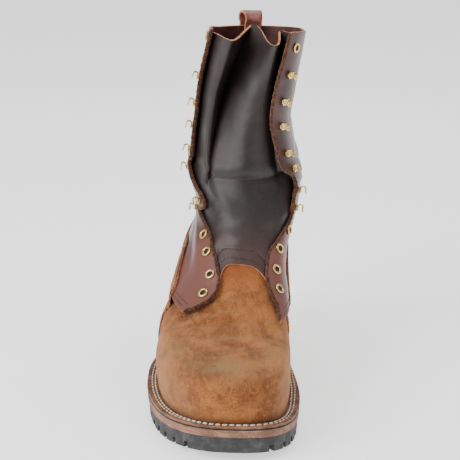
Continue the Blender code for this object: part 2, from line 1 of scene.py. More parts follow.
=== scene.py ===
# %% [markdown]
# # A tall work boot in suede and oiled leather
#
# The solids of the boot are packed already: sole, foot, leg, tongue and brass fittings.
# This lesson dresses them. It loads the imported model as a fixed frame, lays finer sheets
# of leather over the same form, and gives each sheet its own finish.

import math

import bmesh
import bpy
import numpy as np
from mathutils import Matrix, Vector, noise


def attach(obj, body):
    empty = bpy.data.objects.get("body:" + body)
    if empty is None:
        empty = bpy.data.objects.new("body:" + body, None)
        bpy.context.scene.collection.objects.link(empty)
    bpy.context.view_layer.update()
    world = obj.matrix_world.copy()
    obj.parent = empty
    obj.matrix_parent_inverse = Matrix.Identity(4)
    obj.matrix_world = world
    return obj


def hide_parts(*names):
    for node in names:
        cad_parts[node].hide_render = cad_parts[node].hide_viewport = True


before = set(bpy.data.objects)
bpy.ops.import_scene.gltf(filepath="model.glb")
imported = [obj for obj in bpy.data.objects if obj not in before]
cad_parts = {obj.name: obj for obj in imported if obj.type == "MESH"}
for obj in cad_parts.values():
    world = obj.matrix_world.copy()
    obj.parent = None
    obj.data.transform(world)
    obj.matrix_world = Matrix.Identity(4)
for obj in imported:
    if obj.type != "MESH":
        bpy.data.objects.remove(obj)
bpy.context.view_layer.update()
print("packed nodes:", len(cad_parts))

# %% [markdown]
# ## The camera
#
# The view is a long lens from in front and above, a little to the inner side of the foot.
# A long lens keeps the toe from swelling, as a product photographer would want.

# %% Place the camera
camera_data = bpy.data.cameras.new("camera")
camera_data.lens = 128.6
camera_data.sensor_width = 36.0
camera = bpy.data.objects.new("camera", camera_data)
camera.location = (0.0976, -1.2672, 0.545)
camera.rotation_euler = (math.radians(90 - 17.13), 0.0, math.radians(4.15))
bpy.context.scene.collection.objects.link(camera)
bpy.context.scene.camera = camera
print("camera stands", round(camera.location.length, 3), "m from the ball of the foot")

# %% [markdown]
# ## Floor and light
#
# The boot stands on a plain pale floor. One wide lamp on the outer side is the key, a
# weaker one fills the inner side, and a pale sky keeps every shadow open. Wide lamps
# give the oiled leather its long soft shine.

# %% Lay the floor and hang the lamps
floor_mesh = bpy.data.meshes.new("floor")
floor_bm = bmesh.new()
bmesh.ops.create_grid(floor_bm, x_segments=1, y_segments=1, size=9.0)
floor_bm.to_mesh(floor_mesh)
floor_bm.free()
floor = bpy.data.objects.new("floor", floor_mesh)
bpy.context.scene.collection.objects.link(floor)

floor_paint = bpy.data.materials.new("floor_paint")
floor_paint.use_nodes = True
floor_shader = floor_paint.node_tree.nodes["Principled BSDF"]
floor_shader.inputs["Base Color"].default_value = (0.93, 0.93, 0.93, 1)
floor_shader.inputs["Roughness"].default_value = 0.9
floor_shader.inputs["Emission Color"].default_value = (1.0, 1.0, 1.0, 1)
floor_shader.inputs["Emission Strength"].default_value = 0.9
floor_mesh.materials.append(floor_paint)

LAMPS = (
    ("key", (-1.10, -0.75, 1.05), 1.1, 26.0),
    ("fill", (1.15, -1.05, 0.80), 1.0, 6.0),
    ("top", (0.15, 0.55, 1.50), 1.2, 14.0),
)


def hang_lamp(name, place, size, watts):
    lamp_data = bpy.data.lights.new(name, "AREA")
    lamp_data.size = size
    lamp_data.energy = watts
    lamp = bpy.data.objects.new(name, lamp_data)
    lamp.location = place
    lamp.rotation_euler = (Vector((0.0, 0.0, 0.12)) - Vector(place)).to_track_quat("-Z", "Y").to_euler()
    bpy.context.scene.collection.objects.link(lamp)


for lamp_row in LAMPS:
    hang_lamp(*lamp_row)

sky = bpy.data.worlds.new("sky")
sky.use_nodes = True
sky.node_tree.nodes["Background"].inputs["Color"].default_value = (1.0, 1.0, 1.0, 1)
sky.node_tree.nodes["Background"].inputs["Strength"].default_value = 0.5
bpy.context.scene.world = sky
print("lamps:", [row[0] for row in LAMPS])

# %% [markdown]
# ## The form of the boot
#
# Shoes are lasted: leather is pulled over a form. Here the form is a stack of tilted
# rings from the sole to the collar. A place on it is named by its ring and by how far it
# lies round that ring, from 0 at the front to -1 or 1 at the back. Every sheet, seam and
# stitch is laid with these two numbers, so that they all follow the same surface.

# %% Name the sizes of the form
SOLE_LENGTH = 0.325
BALL_HALF = 0.0645
TOE_TO_BALL = 0.112
FOOT_RISE = 0.0915
LEG_RISE = 0.1815
TREAD = 0.0126
MIDSOLE = 0.0064
WELT = 0.0025
GAP = 0.0004
TOE_SPRING = 0.008
SPRING_START = 0.075
SHANK_START = 0.150
HEEL_BREAST = 0.236
HEEL_RISE = 0.014
RING_COLUMNS = (
    "front", "back", "foot_front", "foot_back", "leg_front", "leg_back",
    "widest_lateral", "widest_medial", "lateral", "medial", "tip", "heel",
    "power_lateral", "power_medial", "power_back", "waist",
)
RINGS = np.array((
    (0.026, 0.991, 0.00, 0.00, 0.00, 0.00, 0.43, 0.27, 0.86, 0.86, 0.19, 0.00, 2.3, 2.5, 2.5, 0.14),
    (0.020, 0.997, 0.10, 0.11, 0.00, 0.00, 0.43, 0.27, 0.88, 0.88, 0.19, 0.00, 2.3, 2.5, 2.5, 0.14),
    (0.022, 1.000, 0.22, 0.24, 0.00, 0.00, 0.43, 0.27, 0.88, 0.88, 0.19, 0.00, 2.3, 2.5, 2.5, 0.13),
    (0.040, 0.998, 0.32, 0.37, 0.00, 0.00, 0.43, 0.28, 0.85, 0.87, 0.19, 0.00, 2.3, 2.5, 2.5, 0.12),
    (0.074, 0.994, 0.39, 0.49, 0.00, 0.00, 0.43, 0.29, 0.81, 0.84, 0.19, 0.00, 2.3, 2.4, 2.5, 0.10),
    (0.123, 0.988, 0.43, 0.60, 0.00, 0.00, 0.44, 0.32, 0.77, 0.80, 0.19, 0.00, 2.2, 2.3, 2.5, 0.08),
    (0.185, 0.982, 0.47, 0.71, 0.00, 0.00, 0.46, 0.37, 0.73, 0.77, 0.20, 0.00, 2.2, 2.2, 2.5, 0.06),
    (0.252, 0.975, 0.53, 0.82, 0.00, 0.00, 0.50, 0.43, 0.69, 0.76, 0.21, 0.00, 2.1, 2.2, 2.5, 0.04),
    (0.320, 0.971, 0.65, 0.93, 0.00, 0.00, 0.55, 0.49, 0.64, 0.73, 0.21, 0.00, 2.1, 2.2, 2.5, 0.02),
    (0.382, 0.966, 0.81, 1.04, 0.00, 0.00, 0.60, 0.55, 0.56, 0.70, 0.21, 0.01, 2.1, 2.2, 2.5, 0.00),
    (0.440, 0.962, 1.00, 1.16, 0.00, 0.00, 0.65, 0.61, 0.48, 0.71, 0.21, 0.02, 2.2, 2.2, 2.4, 0.00),
    (0.486, 0.957, 1.00, 1.16, 0.09, 0.07, 0.69, 0.66, 0.42, 0.76, 0.21, 0.03, 2.4, 2.2, 2.4, 0.00),
    (0.523, 0.951, 1.00, 1.16, 0.19, 0.15, 0.72, 0.70, 0.44, 0.83, 0.22, 0.05, 2.8, 2.2, 2.3, 0.00),
    (0.548, 0.945, 1.00, 1.16, 0.29, 0.24, 0.74, 0.73, 0.54, 0.84, 0.22, 0.07, 3.2, 2.3, 2.3, 0.00),
    (0.563, 0.941, 1.00, 1.16, 0.39, 0.32, 0.75, 0.74, 0.50, 0.77, 0.22, 0.09, 3.6, 2.3, 2.3, 0.00),
    (0.575, 0.938, 1.00, 1.16, 0.56, 0.45, 0.75, 0.75, 0.45, 0.71, 0.22, 0.11, 4.0, 2.3, 2.3, 0.00),
    (0.582, 0.937, 1.00, 1.16, 0.71, 0.56, 0.75, 0.75, 0.40, 0.76, 0.23, 0.13, 4.0, 2.4, 2.3, 0.00),
    (0.585, 0.936, 1.00, 1.16, 0.88, 0.70, 0.75, 0.75, 0.31, 0.83, 0.24, 0.15, 4.0, 2.4, 2.3, 0.00),
    (0.585, 0.934, 1.00, 1.16, 1.00, 0.79, 0.75, 0.75, 0.25, 0.88, 0.25, 0.16, 4.0, 2.4, 2.3, 0.00),
))
COLLAR = len(RINGS) - 1.0
print("rings from sole to collar:", len(RINGS))

# %% Read a smooth curve through rows of numbers
def spline(rows, place):
    rows = np.asarray(rows, float)
    place = min(max(place, 0.0), len(rows) - 1.0)
    first = min(int(place), len(rows) - 2)
    t = place - first
    p0 = rows[max(first - 1, 0)]
    p1 = rows[first]
    p2 = rows[first + 1]
    p3 = rows[min(first + 2, len(rows) - 1)]
    bend = 2 * p0 - 5 * p1 + 4 * p2 - p3
    twist = 3 * (p1 - p2) + p3 - p0
    return 0.5 * (2 * p1 + (p2 - p0) * t + bend * t * t + twist * t ** 3)


def spline_by(keys, rows, key):
    return spline(rows, float(np.interp(key, keys, range(len(keys)))))


def smooth(t):
    t = np.clip(t, 0.0, 1.0)
    return t * t * (3 - 2 * t)


def sole_bottom(along):
    spring = TOE_SPRING * np.maximum(0.0, 1 - along / SPRING_START) ** 2
    return spring + HEEL_RISE * smooth((along - SHANK_START) / (HEEL_BREAST - SHANK_START))


def sole_top(along):
    return sole_bottom(along) + TREAD + MIDSOLE + WELT + 2 * GAP


print("height of the feather at the toe:", round(float(sole_top(0.0)), 4), "m")

# %% Turn one ring into points
def ring_plan(row, side, angle):
    """Places across and along the foot on one side of a ring, front to back."""
    ring = dict(zip(RING_COLUMNS, row))
    name = "medial" if side > 0 else "lateral"
    ahead = angle <= math.pi / 2
    power = np.where(ahead, ring["power_" + name], ring["power_back"])
    along = np.abs(np.cos(angle)) ** (2 / power)
    across = np.abs(np.sin(angle)) ** (2 / power)
    widest = ring["widest_" + name]
    place = np.where(ahead, widest - (widest - ring["front"]) * along,
                     widest + (ring["back"] - widest) * along)
    axis = np.where(ahead, ring["tip"], ring["heel"]) * along ** 2
    waist = np.where(ahead, 0.0, ring["waist"] * np.abs(np.sin(math.pi * along)) ** 1.5)
    return (axis + side * (ring[name] * across - waist)) * BALL_HALF, place * SOLE_LENGTH


def ring_side(level, side, count=240):
    """Points on one side of a ring at equal shares of its run, and the run in metres."""
    row = spline(RINGS, level)
    ring = dict(zip(RING_COLUMNS, row))
    follow = 1 - smooth(level / 6)
    front = ring["front"] * SOLE_LENGTH
    back = ring["back"] * SOLE_LENGTH
    across, along = ring_plan(row, side, np.linspace(0, math.pi, 241))
    share = (along - front) / (back - front)
    line = (1 - share) * sole_top(front) + share * sole_top(back)
    ground = follow * sole_top(along) + (1 - follow) * line
    rise = (1 - share) * (ring["foot_front"] * FOOT_RISE + ring["leg_front"] * LEG_RISE)
    rise += share * (ring["foot_back"] * FOOT_RISE + ring["leg_back"] * LEG_RISE)
    points = np.stack([across, along - TOE_TO_BALL, ground + rise + GAP], axis=1)
    run = np.concatenate([[0.0], np.cumsum(np.linalg.norm(np.diff(points, axis=0), axis=1))])
    even = np.linspace(0, run[-1], count + 1)
    return np.stack([np.interp(even, run, points[:, k]) for k in range(3)], axis=1), run[-1]


# %% Tabulate the whole form once
LEVEL_STEP = 0.05
LEVELS = np.arange(0.0, COLLAR + LEVEL_STEP / 2, LEVEL_STEP)
PER_SIDE = 240
form_rows = []
run_rows = []
for level in LEVELS:
    lateral, lateral_run = ring_side(level, -1)
    medial, medial_run = ring_side(level, 1)
    form_rows.append(np.vstack([lateral[::-1], medial[1:-1]]))
    run_rows.append((lateral_run, medial_run))
FORM = np.array(form_rows)
RUN = np.array(run_rows)


def slopes(table, reach=3):
    """Outward normals of the tabulated form."""
    sideways = np.roll(table, -reach, axis=1) - np.roll(table, reach, axis=1)
    rows = np.arange(len(table))
    upwards = table[np.minimum(rows + reach, len(table) - 1)] - table[np.maximum(rows - reach, 0)]
    normal = np.cross(sideways, upwards)
    return normal / np.linalg.norm(normal, axis=2, keepdims=True)


NORMALS = slopes(FORM)


def read_table(table, level, around):
    level, around = np.broadcast_arrays(np.asarray(level, float), np.asarray(around, float))
    row = np.clip(level / LEVEL_STEP, 0, len(LEVELS) - 1.000001)
    column = (around + 1) * PER_SIDE
    r0 = row.astype(int)
    c0 = np.floor(column).astype(int)
    fr = (row - r0)[..., None]
    fc = (column - c0)[..., None]
    count = table.shape[1]
    low = table[r0, c0 % count] * (1 - fc) + table[r0, (c0 + 1) % count] * fc
    high = table[r0 + 1, c0 % count] * (1 - fc) + table[r0 + 1, (c0 + 1) % count] * fc
    return low * (1 - fr) + high * fr


def form(level, around, offset=0.0):
    """Points that lie offset metres outside the form."""
    out = form_normal(level, around)
    return read_table(FORM, level, around) + out * np.asarray(offset, float)[..., None]


def form_normal(level, around):
    out = read_table(NORMALS, level, around)
    return out / np.linalg.norm(out, axis=-1, keepdims=True)


def run_of(level, side):
    return np.interp(level, LEVELS, RUN[:, 0 if side < 0 else 1])


print("form table:", FORM.shape[:2], "points")

# %% [markdown]
# ## Where the leather is cut
#
# The two facings stand open. Their raw edges wave in and out as they fall from the
# collar to the flaps over the foot. The tongue is sewn under them by one lap, and between
# them it lies in deep folds.

# %% Cut lines of the facings
FACINGS = (
    (7.0, -0.50, 0.70), (8.0, -0.25, 0.65), (8.5, -0.12, 0.59), (9.0, -0.06, 0.54), (9.5, -0.08, 0.51),
    (10.3, -0.16, 0.53), (10.9, -0.22, 0.64), (11.4, -0.35, 0.74), (11.8, -0.28, 0.76), (12.2, -0.31, 0.78),
    (12.7, -0.45, 0.80), (13.2, -0.52, 0.76), (13.7, -0.48, 0.65), (14.4, -0.47, 0.57), (15.0, -0.43, 0.51),
    (15.6, -0.41, 0.52), (16.3, -0.37, 0.58), (17.0, -0.29, 0.66), (18.0, -0.21, 0.73),
)
facing_table = {-1: [], 1: []}
for row_index, level in enumerate(LEVELS):
    cut = spline_by([row[0] for row in FACINGS], [row[1:] for row in FACINGS], level) * BALL_HALF
    for side in (-1, 1):
        points = FORM[row_index, PER_SIDE::-1] if side < 0 else FORM[row_index, PER_SIDE:]
        widest = int(np.argmax(side * points[:, 0]))
        shares = np.arange(widest + 1) / PER_SIDE
        spot = cut[1 if side > 0 else 0]
        facing_table[side].append(side * np.interp(side * spot, side * points[:widest + 1, 0], shares))


def facing(level, side):
    return np.interp(level, LEVELS, facing_table[side])


print("facings at the collar lie at", [round(float(facing(COLLAR, side)), 3) for side in (-1, 1)])

# %% [markdown]
# ## One way to make a sheet
#
# A sheet of leather starts as a flat grid. Each corner of the grid is then moved to its
# place on the boot, and a Solidify modifier gives the sheet its wall. The second material
# is the flesh side and the third is the cut edge. A small Bevel rounds the cut edge.

# %% Helpers that lay a grid on the boot
def mesh_from(name, bm, soft=False):
    mesh = bpy.data.meshes.new(name)
    bm.to_mesh(mesh)
    bm.free()
    if soft:
        mesh.shade_smooth()
    return mesh


def lay_grid(name, across, up, place, merge=False):
    """Grid whose corners are moved to place(u, v); u runs sideways and v upwards."""
    bm = bmesh.new()
    bm.loops.layers.uv.new("lay")
    bmesh.ops.create_grid(bm, x_segments=across, y_segments=up, size=1.0, calc_uvs=True)
    flat = np.array([vert.co[:2] for vert in bm.verts]) / 2 + 0.5
    spots = place(flat[:, 0], flat[:, 1])
    for vert, spot in zip(bm.verts, spots):
        vert.co = spot
    if merge:
        bmesh.ops.remove_doubles(bm, verts=bm.verts[:], dist=1e-6)
    return mesh_from(name, bm, soft=True)


def show(name, mesh, materials, nodes=()):
    """Put a finished mesh in the scene, riding on the boot."""
    piece = bpy.data.objects.new(name, mesh)
    bpy.context.scene.collection.objects.link(piece)
    for material in materials:
        mesh.materials.append(material)
    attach(piece, "root")
    if nodes:
        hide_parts(*nodes)
    return piece


def give_wall(piece, wall, rounding=0.0004):
    solid = piece.modifiers.new("wall", "SOLIDIFY")
    solid.thickness = wall
    solid.offset = 1.0
    if len(piece.data.materials) > 1:
        solid.material_offset = 1
        solid.material_offset_rim = 2
    soften = piece.modifiers.new("cut_edge", "BEVEL")
    soften.width = rounding
    soften.segments = 2
    soften.limit_method = "ANGLE"
    soften.angle_limit = math.radians(50)


def mark(mesh, name, value_of):
    """Store one number per corner of the mesh, worked out from its place in metres."""
    spots = np.array([vert.co for vert in mesh.vertices])
    layer = mesh.attributes.new(name, "FLOAT", "POINT")
    layer.data.foreach_set("value", np.asarray(value_of(spots), np.float32))


# %% Helpers for soft relief
def lumps(spots, size, seed):
    """Smooth noise from -1 to 1 at each spot; size is the width of a lump in metres."""
    shift = Vector((seed * 7.3, seed * 3.1, seed * 5.7))
    return np.array([noise.noise(Vector(spot) / size + shift) for spot in spots])


def distance_to_line(flat, line):
    """Distance of each flat point from a broken line, and the share of the line run."""
    line = np.asarray(line, float)
    best = np.full(len(flat), 1e9)
    share = np.zeros(len(flat))
    total = np.linalg.norm(np.diff(line, axis=0), axis=1).sum()
    before = 0.0
    for start, end in zip(line, line[1:]):
        step = end - start
        length = np.linalg.norm(step)
        t = np.clip((flat - start) @ step / length ** 2, 0, 1)
        gap = np.linalg.norm(flat - start - t[:, None] * step, axis=1)
        nearer = gap < best
        best = np.where(nearer, gap, best)
        share = np.where(nearer, (before + t * length) / total, share)
        before += length
    return best, share


def crease(flat, line, depth, width):
    """A soft trough along a line with a low ridge beside it, fading at both ends."""
    gap, share = distance_to_line(flat, line)
    fade = smooth(share / 0.25) * smooth((1 - share) / 0.25)
    trough = -np.exp(-(gap / width) ** 2)
    ridge = 0.55 * np.exp(-((gap - 1.7 * width) / width) ** 2)
    return depth * (trough + ridge) * fade


print("grid, wall, mark and crease helpers are ready")

# %% [markdown]
# ## Shared shader groups
#
# Leather is never one flat colour. A group named patches mixes two colours by soft
# noise. A group named grain makes the height of a fine skin, and it is fed to a Bump
# node. Both are built once and then placed in each material with that material's values.

# %% Helpers that build nodes
def add(tree, kind, **settings):
    node = tree.nodes.new(kind)
    for name, value in settings.items():
        setattr(node, name, value)
    return node


def feed(tree, socket, value):
    """Link a socket to another, or set its value."""
    if isinstance(value, bpy.types.NodeSocket):
        tree.links.new(value, socket)
    else:
        socket.default_value = value


def noise_at(tree, place, scale, detail=3.0, roughness=0.55, stretch=(1, 1, 1), distortion=0.0):
    turned = add(tree, "ShaderNodeMapping")
    turned.inputs["Scale"].default_value = stretch
    feed(tree, turned.inputs["Vector"], place)
    cloud = add(tree, "ShaderNodeTexNoise")
    feed(tree, cloud.inputs["Vector"], turned.outputs[0])
    feed(tree, cloud.inputs["Scale"], scale)
    cloud.inputs["Detail"].default_value = detail
    cloud.inputs["Roughness"].default_value = roughness
    cloud.inputs["Distortion"].default_value = distortion
    return cloud.outputs["Fac"]


def spread(tree, value, low, high, to_low=0.0, to_high=1.0):
    node = add(tree, "ShaderNodeMapRange", interpolation_type="SMOOTHSTEP")
    for name, number in (("Value", value), ("From Min", low), ("From Max", high),
                         ("To Min", to_low), ("To Max", to_high)):
        feed(tree, node.inputs[name], number)
    return node.outputs["Result"]


def mix(tree, share, first, second, blend="MIX"):
    node = add(tree, "ShaderNodeMix", data_type="RGBA", blend_type=blend)
    feed(tree, node.inputs[0], share)
    feed(tree, node.inputs[6], first)
    feed(tree, node.inputs[7], second)
    return node.outputs[2]


def sum_of(tree, operation, first, second):
    node = add(tree, "ShaderNodeMath", operation=operation)
    feed(tree, node.inputs[0], first)
    feed(tree, node.inputs[1], second)
    return node.outputs[0]


def attribute(tree, name):
    return add(tree, "ShaderNodeAttribute", attribute_name=name).outputs["Fac"]


# %% Build the shared groups
def new_group(name, inputs, outputs):
    tree = bpy.data.node_groups.new(name, "ShaderNodeTree")
    for label, kind, value in inputs:
        socket = tree.interface.new_socket(label, in_out="INPUT", socket_type=kind)
        if value is not None:
            socket.default_value = value
    for label, kind in outputs:
        tree.interface.new_socket(label, in_out="OUTPUT", socket_type=kind)
    return tree, add(tree, "NodeGroupInput"), add(tree, "NodeGroupOutput")


patches, patches_in, patches_out = new_group(
    "patches",
    (("Place", "NodeSocketVector", None), ("Scale", "NodeSocketFloat", 30.0),
     ("Dark", "NodeSocketColor", (0, 0, 0, 1)), ("Light", "NodeSocketColor", (1, 1, 1, 1)),
     ("Speckle", "NodeSocketFloat", 0.2)),
    (("Color", "NodeSocketColor"),))
wide = noise_at(patches, patches_in.outputs["Place"], patches_in.outputs["Scale"], 4.0, 0.6, distortion=0.4)
ground_colour = mix(patches, spread(patches, wide, 0.36, 0.64),
                    patches_in.outputs["Dark"], patches_in.outputs["Light"])
dots = noise_at(patches, patches_in.outputs["Place"], 900.0, 2.0, 0.6)
dot_swing = spread(patches, dots, 0.35, 0.65, -1.0, 1.0)
dot_share = sum_of(patches, "MULTIPLY", dot_swing, patches_in.outputs["Speckle"])
brightness = sum_of(patches, "ADD", dot_share, 1.0)
grey = add(patches, "ShaderNodeCombineColor")
for socket_name in ("Red", "Green", "Blue"):
    feed(patches, grey.inputs[socket_name], brightness)
feed(patches, patches_out.inputs["Color"], mix(patches, 1.0, ground_colour, grey.outputs[0], "MULTIPLY"))

grain, grain_in, grain_out = new_group(
    "grain",
    (("Place", "NodeSocketVector", None), ("Fine", "NodeSocketFloat", 900.0),
     ("Coarse", "NodeSocketFloat", 160.0), ("Coarse Share", "NodeSocketFloat", 0.5)),
    (("Height", "NodeSocketFloat"),))
fine_noise = noise_at(grain, grain_in.outputs["Place"], grain_in.outputs["Fine"], 2.0, 0.6)
coarse_noise = noise_at(grain, grain_in.outputs["Place"], grain_in.outputs["Coarse"],
                        3.0, 0.55, distortion=0.6)
coarse_part = sum_of(grain, "MULTIPLY", coarse_noise, grain_in.outputs["Coarse Share"])
feed(grain, grain_out.inputs["Height"], sum_of(grain, "ADD", fine_noise, coarse_part))


def use_group(tree, group, **values):
    node = add(tree, "ShaderNodeGroup", node_tree=group)
    for name, value in values.items():
        feed(tree, node.inputs[name.replace("_", " ")], value)
    return node.outputs[0]


print("shader groups:", [group.name for group in bpy.data.node_groups])

# %% [markdown]
# ## The finishes
#
# Suede is the rough flesh side of a hide: it hardly shines, and its nap catches light at
# the edge, which the sheen gives. The leg is oiled grain leather with a soft gloss. The
# tongue is the same leather, thinner and nearly black in its folds.

# %% One helper starts every finish
def new_finish(name, roughness, metallic=0.0, sheen=0.0, coat=0.0, specular=0.5):
    material = bpy.data.materials.new(name)
    material.use_nodes = True
    tree = material.node_tree
    shader = tree.nodes["Principled BSDF"]
    shader.inputs["Roughness"].default_value = roughness
    shader.inputs["Metallic"].default_value = metallic
    shader.inputs["Sheen Weight"].default_value = sheen
    shader.inputs["Coat Weight"].default_value = coat
    shader.inputs["Coat Roughness"].default_value = 0.3
    shader.inputs["Specular IOR Level"].default_value = specular
    return material, tree, shader, add(tree, "ShaderNodeTexCoord").outputs["Object"]


def bump(tree, shader, height, distance, strength=1.0):
    node = add(tree, "ShaderNodeBump")
    node.inputs["Strength"].default_value = strength
    node.inputs["Distance"].default_value = distance
    feed(tree, node.inputs["Height"], height)
    feed(tree, shader.inputs["Normal"], node.outputs["Normal"])


def skin_of(tree, place, scale, dark, light, speckle):
    return use_group(tree, patches, Place=place, Scale=scale,
                     Dark=(*dark, 1), Light=(*light, 1), Speckle=speckle)


def grain_bump(tree, shader, place, fine, coarse, share, distance, strength):
    height = use_group(tree, grain, Place=place, Fine=fine, Coarse=coarse, Coarse_Share=share)
    bump(tree, shader, height, distance, strength)


# %% Suede of the foot and the counter
def make_suede():
    material, tree, shader, place = new_finish("suede_nap", 0.95, sheen=0.25, specular=0.2)
    shader.inputs["Sheen Tint"].default_value = (1.0, 0.72, 0.48, 1)
    shader.inputs["Sheen Roughness"].default_value = 0.6
    nap = skin_of(tree, place, 34.0, (0.150, 0.042, 0.010), (0.330, 0.112, 0.030), 0.26)
    streak = noise_at(tree, place, 120.0, 4.0, 0.65, (1.0, 0.45, 1.0), 1.2)
    nap = mix(tree, spread(tree, streak, 0.42, 0.72, 0.0, 0.45), nap, (0.46, 0.190, 0.062, 1))
    rubbed = spread(tree, noise_at(tree, place, 48.0, 4.0), 0.35, 0.62)
    worn = sum_of(tree, "MULTIPLY", attribute(tree, "worn"), rubbed)
    nap = mix(tree, worn, nap, (0.25, 0.140, 0.052, 1))
    nap = mix(tree, attribute(tree, "fresh"), nap, (0.270, 0.062, 0.012, 1))
    # The shade mark paints shade as a dark colour along the foot of the suede, against the welt.
    nap = mix(tree, attribute(tree, "shade"), nap, (0.05, 0.016, 0.006, 1))
    feed(tree, shader.inputs["Base Color"], nap)
    grain_bump(tree, shader, place, 1300.0, 260.0, 0.7, 0.0007, 0.6)
    return material


suede_nap = make_suede()

# %% Oiled leather of the leg, with a painted highlight on the flaps
def make_leather(name, dark, light, roughness, coat, scale, pale=None, fine=1100.0, depth=0.00025):
    material, tree, shader, place = new_finish(name, roughness, coat=coat)
    skin = skin_of(tree, place, scale, dark, light, 0.10)
    if pale is not None:
        # The pull mark paints a highlight: a paler colour that stands for the shine of the leather.
        skin = mix(tree, attribute(tree, "pull"), skin, (*pale, 1))
    feed(tree, shader.inputs["Base Color"], skin)
    grain_bump(tree, shader, place, fine, 140.0, 1.2, depth, 0.5)
    return material


# The pale colours here are painted highlights, on the flaps and on the lower tongue.
leg_leather = make_leather("leg_leather", (0.028, 0.008, 0.006), (0.066, 0.019, 0.014), 0.34, 0.12, 42.0,
                           pale=(0.175, 0.062, 0.046))
tongue_leather = make_leather("tongue_leather", (0.009, 0.0055, 0.005), (0.020, 0.0115, 0.010),
                              0.46, 0.0, 30.0, pale=(0.046, 0.019, 0.016))
lining = make_leather("lining", (0.060, 0.018, 0.013), (0.120, 0.038, 0.030), 0.6, 0.0, 60.0)
loop_leather = make_leather("loop_leather", (0.19, 0.055, 0.043), (0.30, 0.10, 0.080), 0.4, 0.1, 80.0)

# %% Cut edges, thread and brass
def make_fibre(name, dark, light, roughness=0.9, distance=0.0006):
    material, tree, shader, place = new_finish(name, roughness, sheen=0.2, specular=0.2)
    fibre = skin_of(tree, place, 420.0, dark, light, 0.35)
    feed(tree, shader.inputs["Base Color"], fibre)
    grain_bump(tree, shader, place, 1500.0, 500.0, 1.0, distance, 0.7)
    return material


rust_edge = make_fibre("rust_edge", (0.034, 0.010, 0.004), (0.120, 0.038, 0.013))
light_edge = make_fibre("light_edge", (0.36, 0.11, 0.045), (0.62, 0.26, 0.12))
tab_edge = make_fibre("tab_edge", (0.20, 0.055, 0.018), (0.40, 0.14, 0.055))
cream_thread = make_fibre("cream_thread", (0.62, 0.52, 0.42), (0.85, 0.78, 0.68), 0.7, 0.0002)
brown_thread = make_fibre("brown_thread", (0.030, 0.013, 0.010), (0.075, 0.032, 0.024), 0.6, 0.0002)
# A dark finish that paints shade, in the eyelet holes and in the welt groove.
painted_shade = make_fibre("painted_shade", (0.012, 0.006, 0.004), (0.030, 0.014, 0.010), 0.9, 0.0002)


def make_brass():
    material, tree, shader, place = new_finish("polished_brass", 0.22, metallic=1.0)
    tarnish = noise_at(tree, place, 260.0, 4.0, 0.6)
    colour = mix(tree, spread(tree, tarnish, 0.40, 0.72), (0.86, 0.63, 0.26, 1), (0.48, 0.29, 0.09, 1))
    feed(tree, shader.inputs["Base Color"], colour)
    feed(tree, shader.inputs["Roughness"], spread(tree, tarnish, 0.3, 0.7, 0.16, 0.40))
    return material


brass = make_brass()
print("finishes so far:", len(bpy.data.materials))

# %% [markdown]
# ## The suede foot
#
# One piece of suede is pulled over the toe and runs up into a tab under the tongue. The
# worn foot shows it: shallow creases cross the ball where the boot bends, the nap is
# rubbed olive at the middle of the toe, and it stays bright orange at the tab.

# %% Lay the suede upper
SUEDE = 0.0022
TAB_RING = 10.35
SEAM_RING = 7.0
UPPER_BEHIND = 0.25
FLEX_CREASES = (
    (((-50, 106), (-30, 101), (-6, 99), (16, 101), (38, 98), (56, 95)), 1.0, 4.2),
    (((-52, 92), (-34, 88), (-12, 86), (12, 88), (34, 85), (52, 82)), 0.7, 4.5),
    (((-26, 117), (-10, 113), (8, 114), (30, 112), (50, 110)), 0.8, 3.8),
    (((-14, 126), (4, 123), (20, 124)), 0.6, 3.6),
    (((-46, 76), (-22, 71), (4, 73)), 0.4, 5.0),
    (((10, 76), (30, 70), (48, 72)), 0.4, 5.0),
    (((22, 121), (40, 119), (55, 124)), 0.7, 3.4),
    (((-58, 122), (-48, 116), (-34, 112)), 0.7, 3.6),
)


def upper_level(around, rise):
    behind = smooth((np.abs(around) - 0.24) / 0.12)
    return (TAB_RING + (SEAM_RING - UPPER_BEHIND - TAB_RING) * behind) * rise


def foot_relief(spots):
    """How far the suede stands out or in from the form, in metres."""
    plan = np.stack([spots[:, 0], spots[:, 1] + TOE_TO_BALL], axis=1) * 1000
    relief = np.zeros(len(spots))
    wander = np.stack([lumps(spots, 0.022, 1), lumps(spots, 0.022, 2)], axis=1) * 2.6
    for line, depth, width in FLEX_CREASES:
        relief += crease(plan + wander, line, depth, width)
    relief += 0.35 * lumps(spots, 0.017, 3) + 0.16 * lumps(spots, 0.006, 4)
    keep = smooth((spots[:, 2] - sole_top(spots[:, 1] + TOE_TO_BALL)) / 0.012)
    return relief * keep / 1000


def place_upper(u, v):
    around = 2 * u - 1
    rise = 0.75 * v + 0.25 * v * v
    level = upper_level(around, rise)
    base = form(level, around, -SUEDE)
    return base + form_normal(level, around) * foot_relief(base)[:, None]


upper_mesh = lay_grid("suede_foot", 300, 110, place_upper, merge=True)


def blob(spots, across, along, wide, long):
    plan = np.stack([spots[:, 0], spots[:, 1] + TOE_TO_BALL], axis=1) * 1000
    return np.exp(-((plan[:, 0] - across) / wide) ** 2 - ((plan[:, 1] - along) / long) ** 2)


def painted_rim_shade(spots):
    """Painted shade, a darker colour where the suede meets the welt."""
    return 0.45 * (1 - smooth((spots[:, 2] - sole_top(spots[:, 1] + TOE_TO_BALL)) / 0.007))


mark(upper_mesh, "worn", lambda spots: 0.75 * blob(spots, 4, 38, 26, 16) + 0.55 * blob(spots, -40, 70, 14, 22)
     + 0.5 * blob(spots, 44, 62, 12, 20) + 0.35 * blob(spots, 0, 84, 40, 8))
mark(upper_mesh, "fresh", lambda spots: 0.85 * smooth((spots[:, 2] - 0.088) / 0.030))
mark(upper_mesh, "shade", painted_rim_shade)
suede_foot = show("suede_foot", upper_mesh, (suede_nap, lining, tab_edge), ("upper",))
give_wall(suede_foot, SUEDE)
print("suede foot:", len(upper_mesh.polygons), "faces")
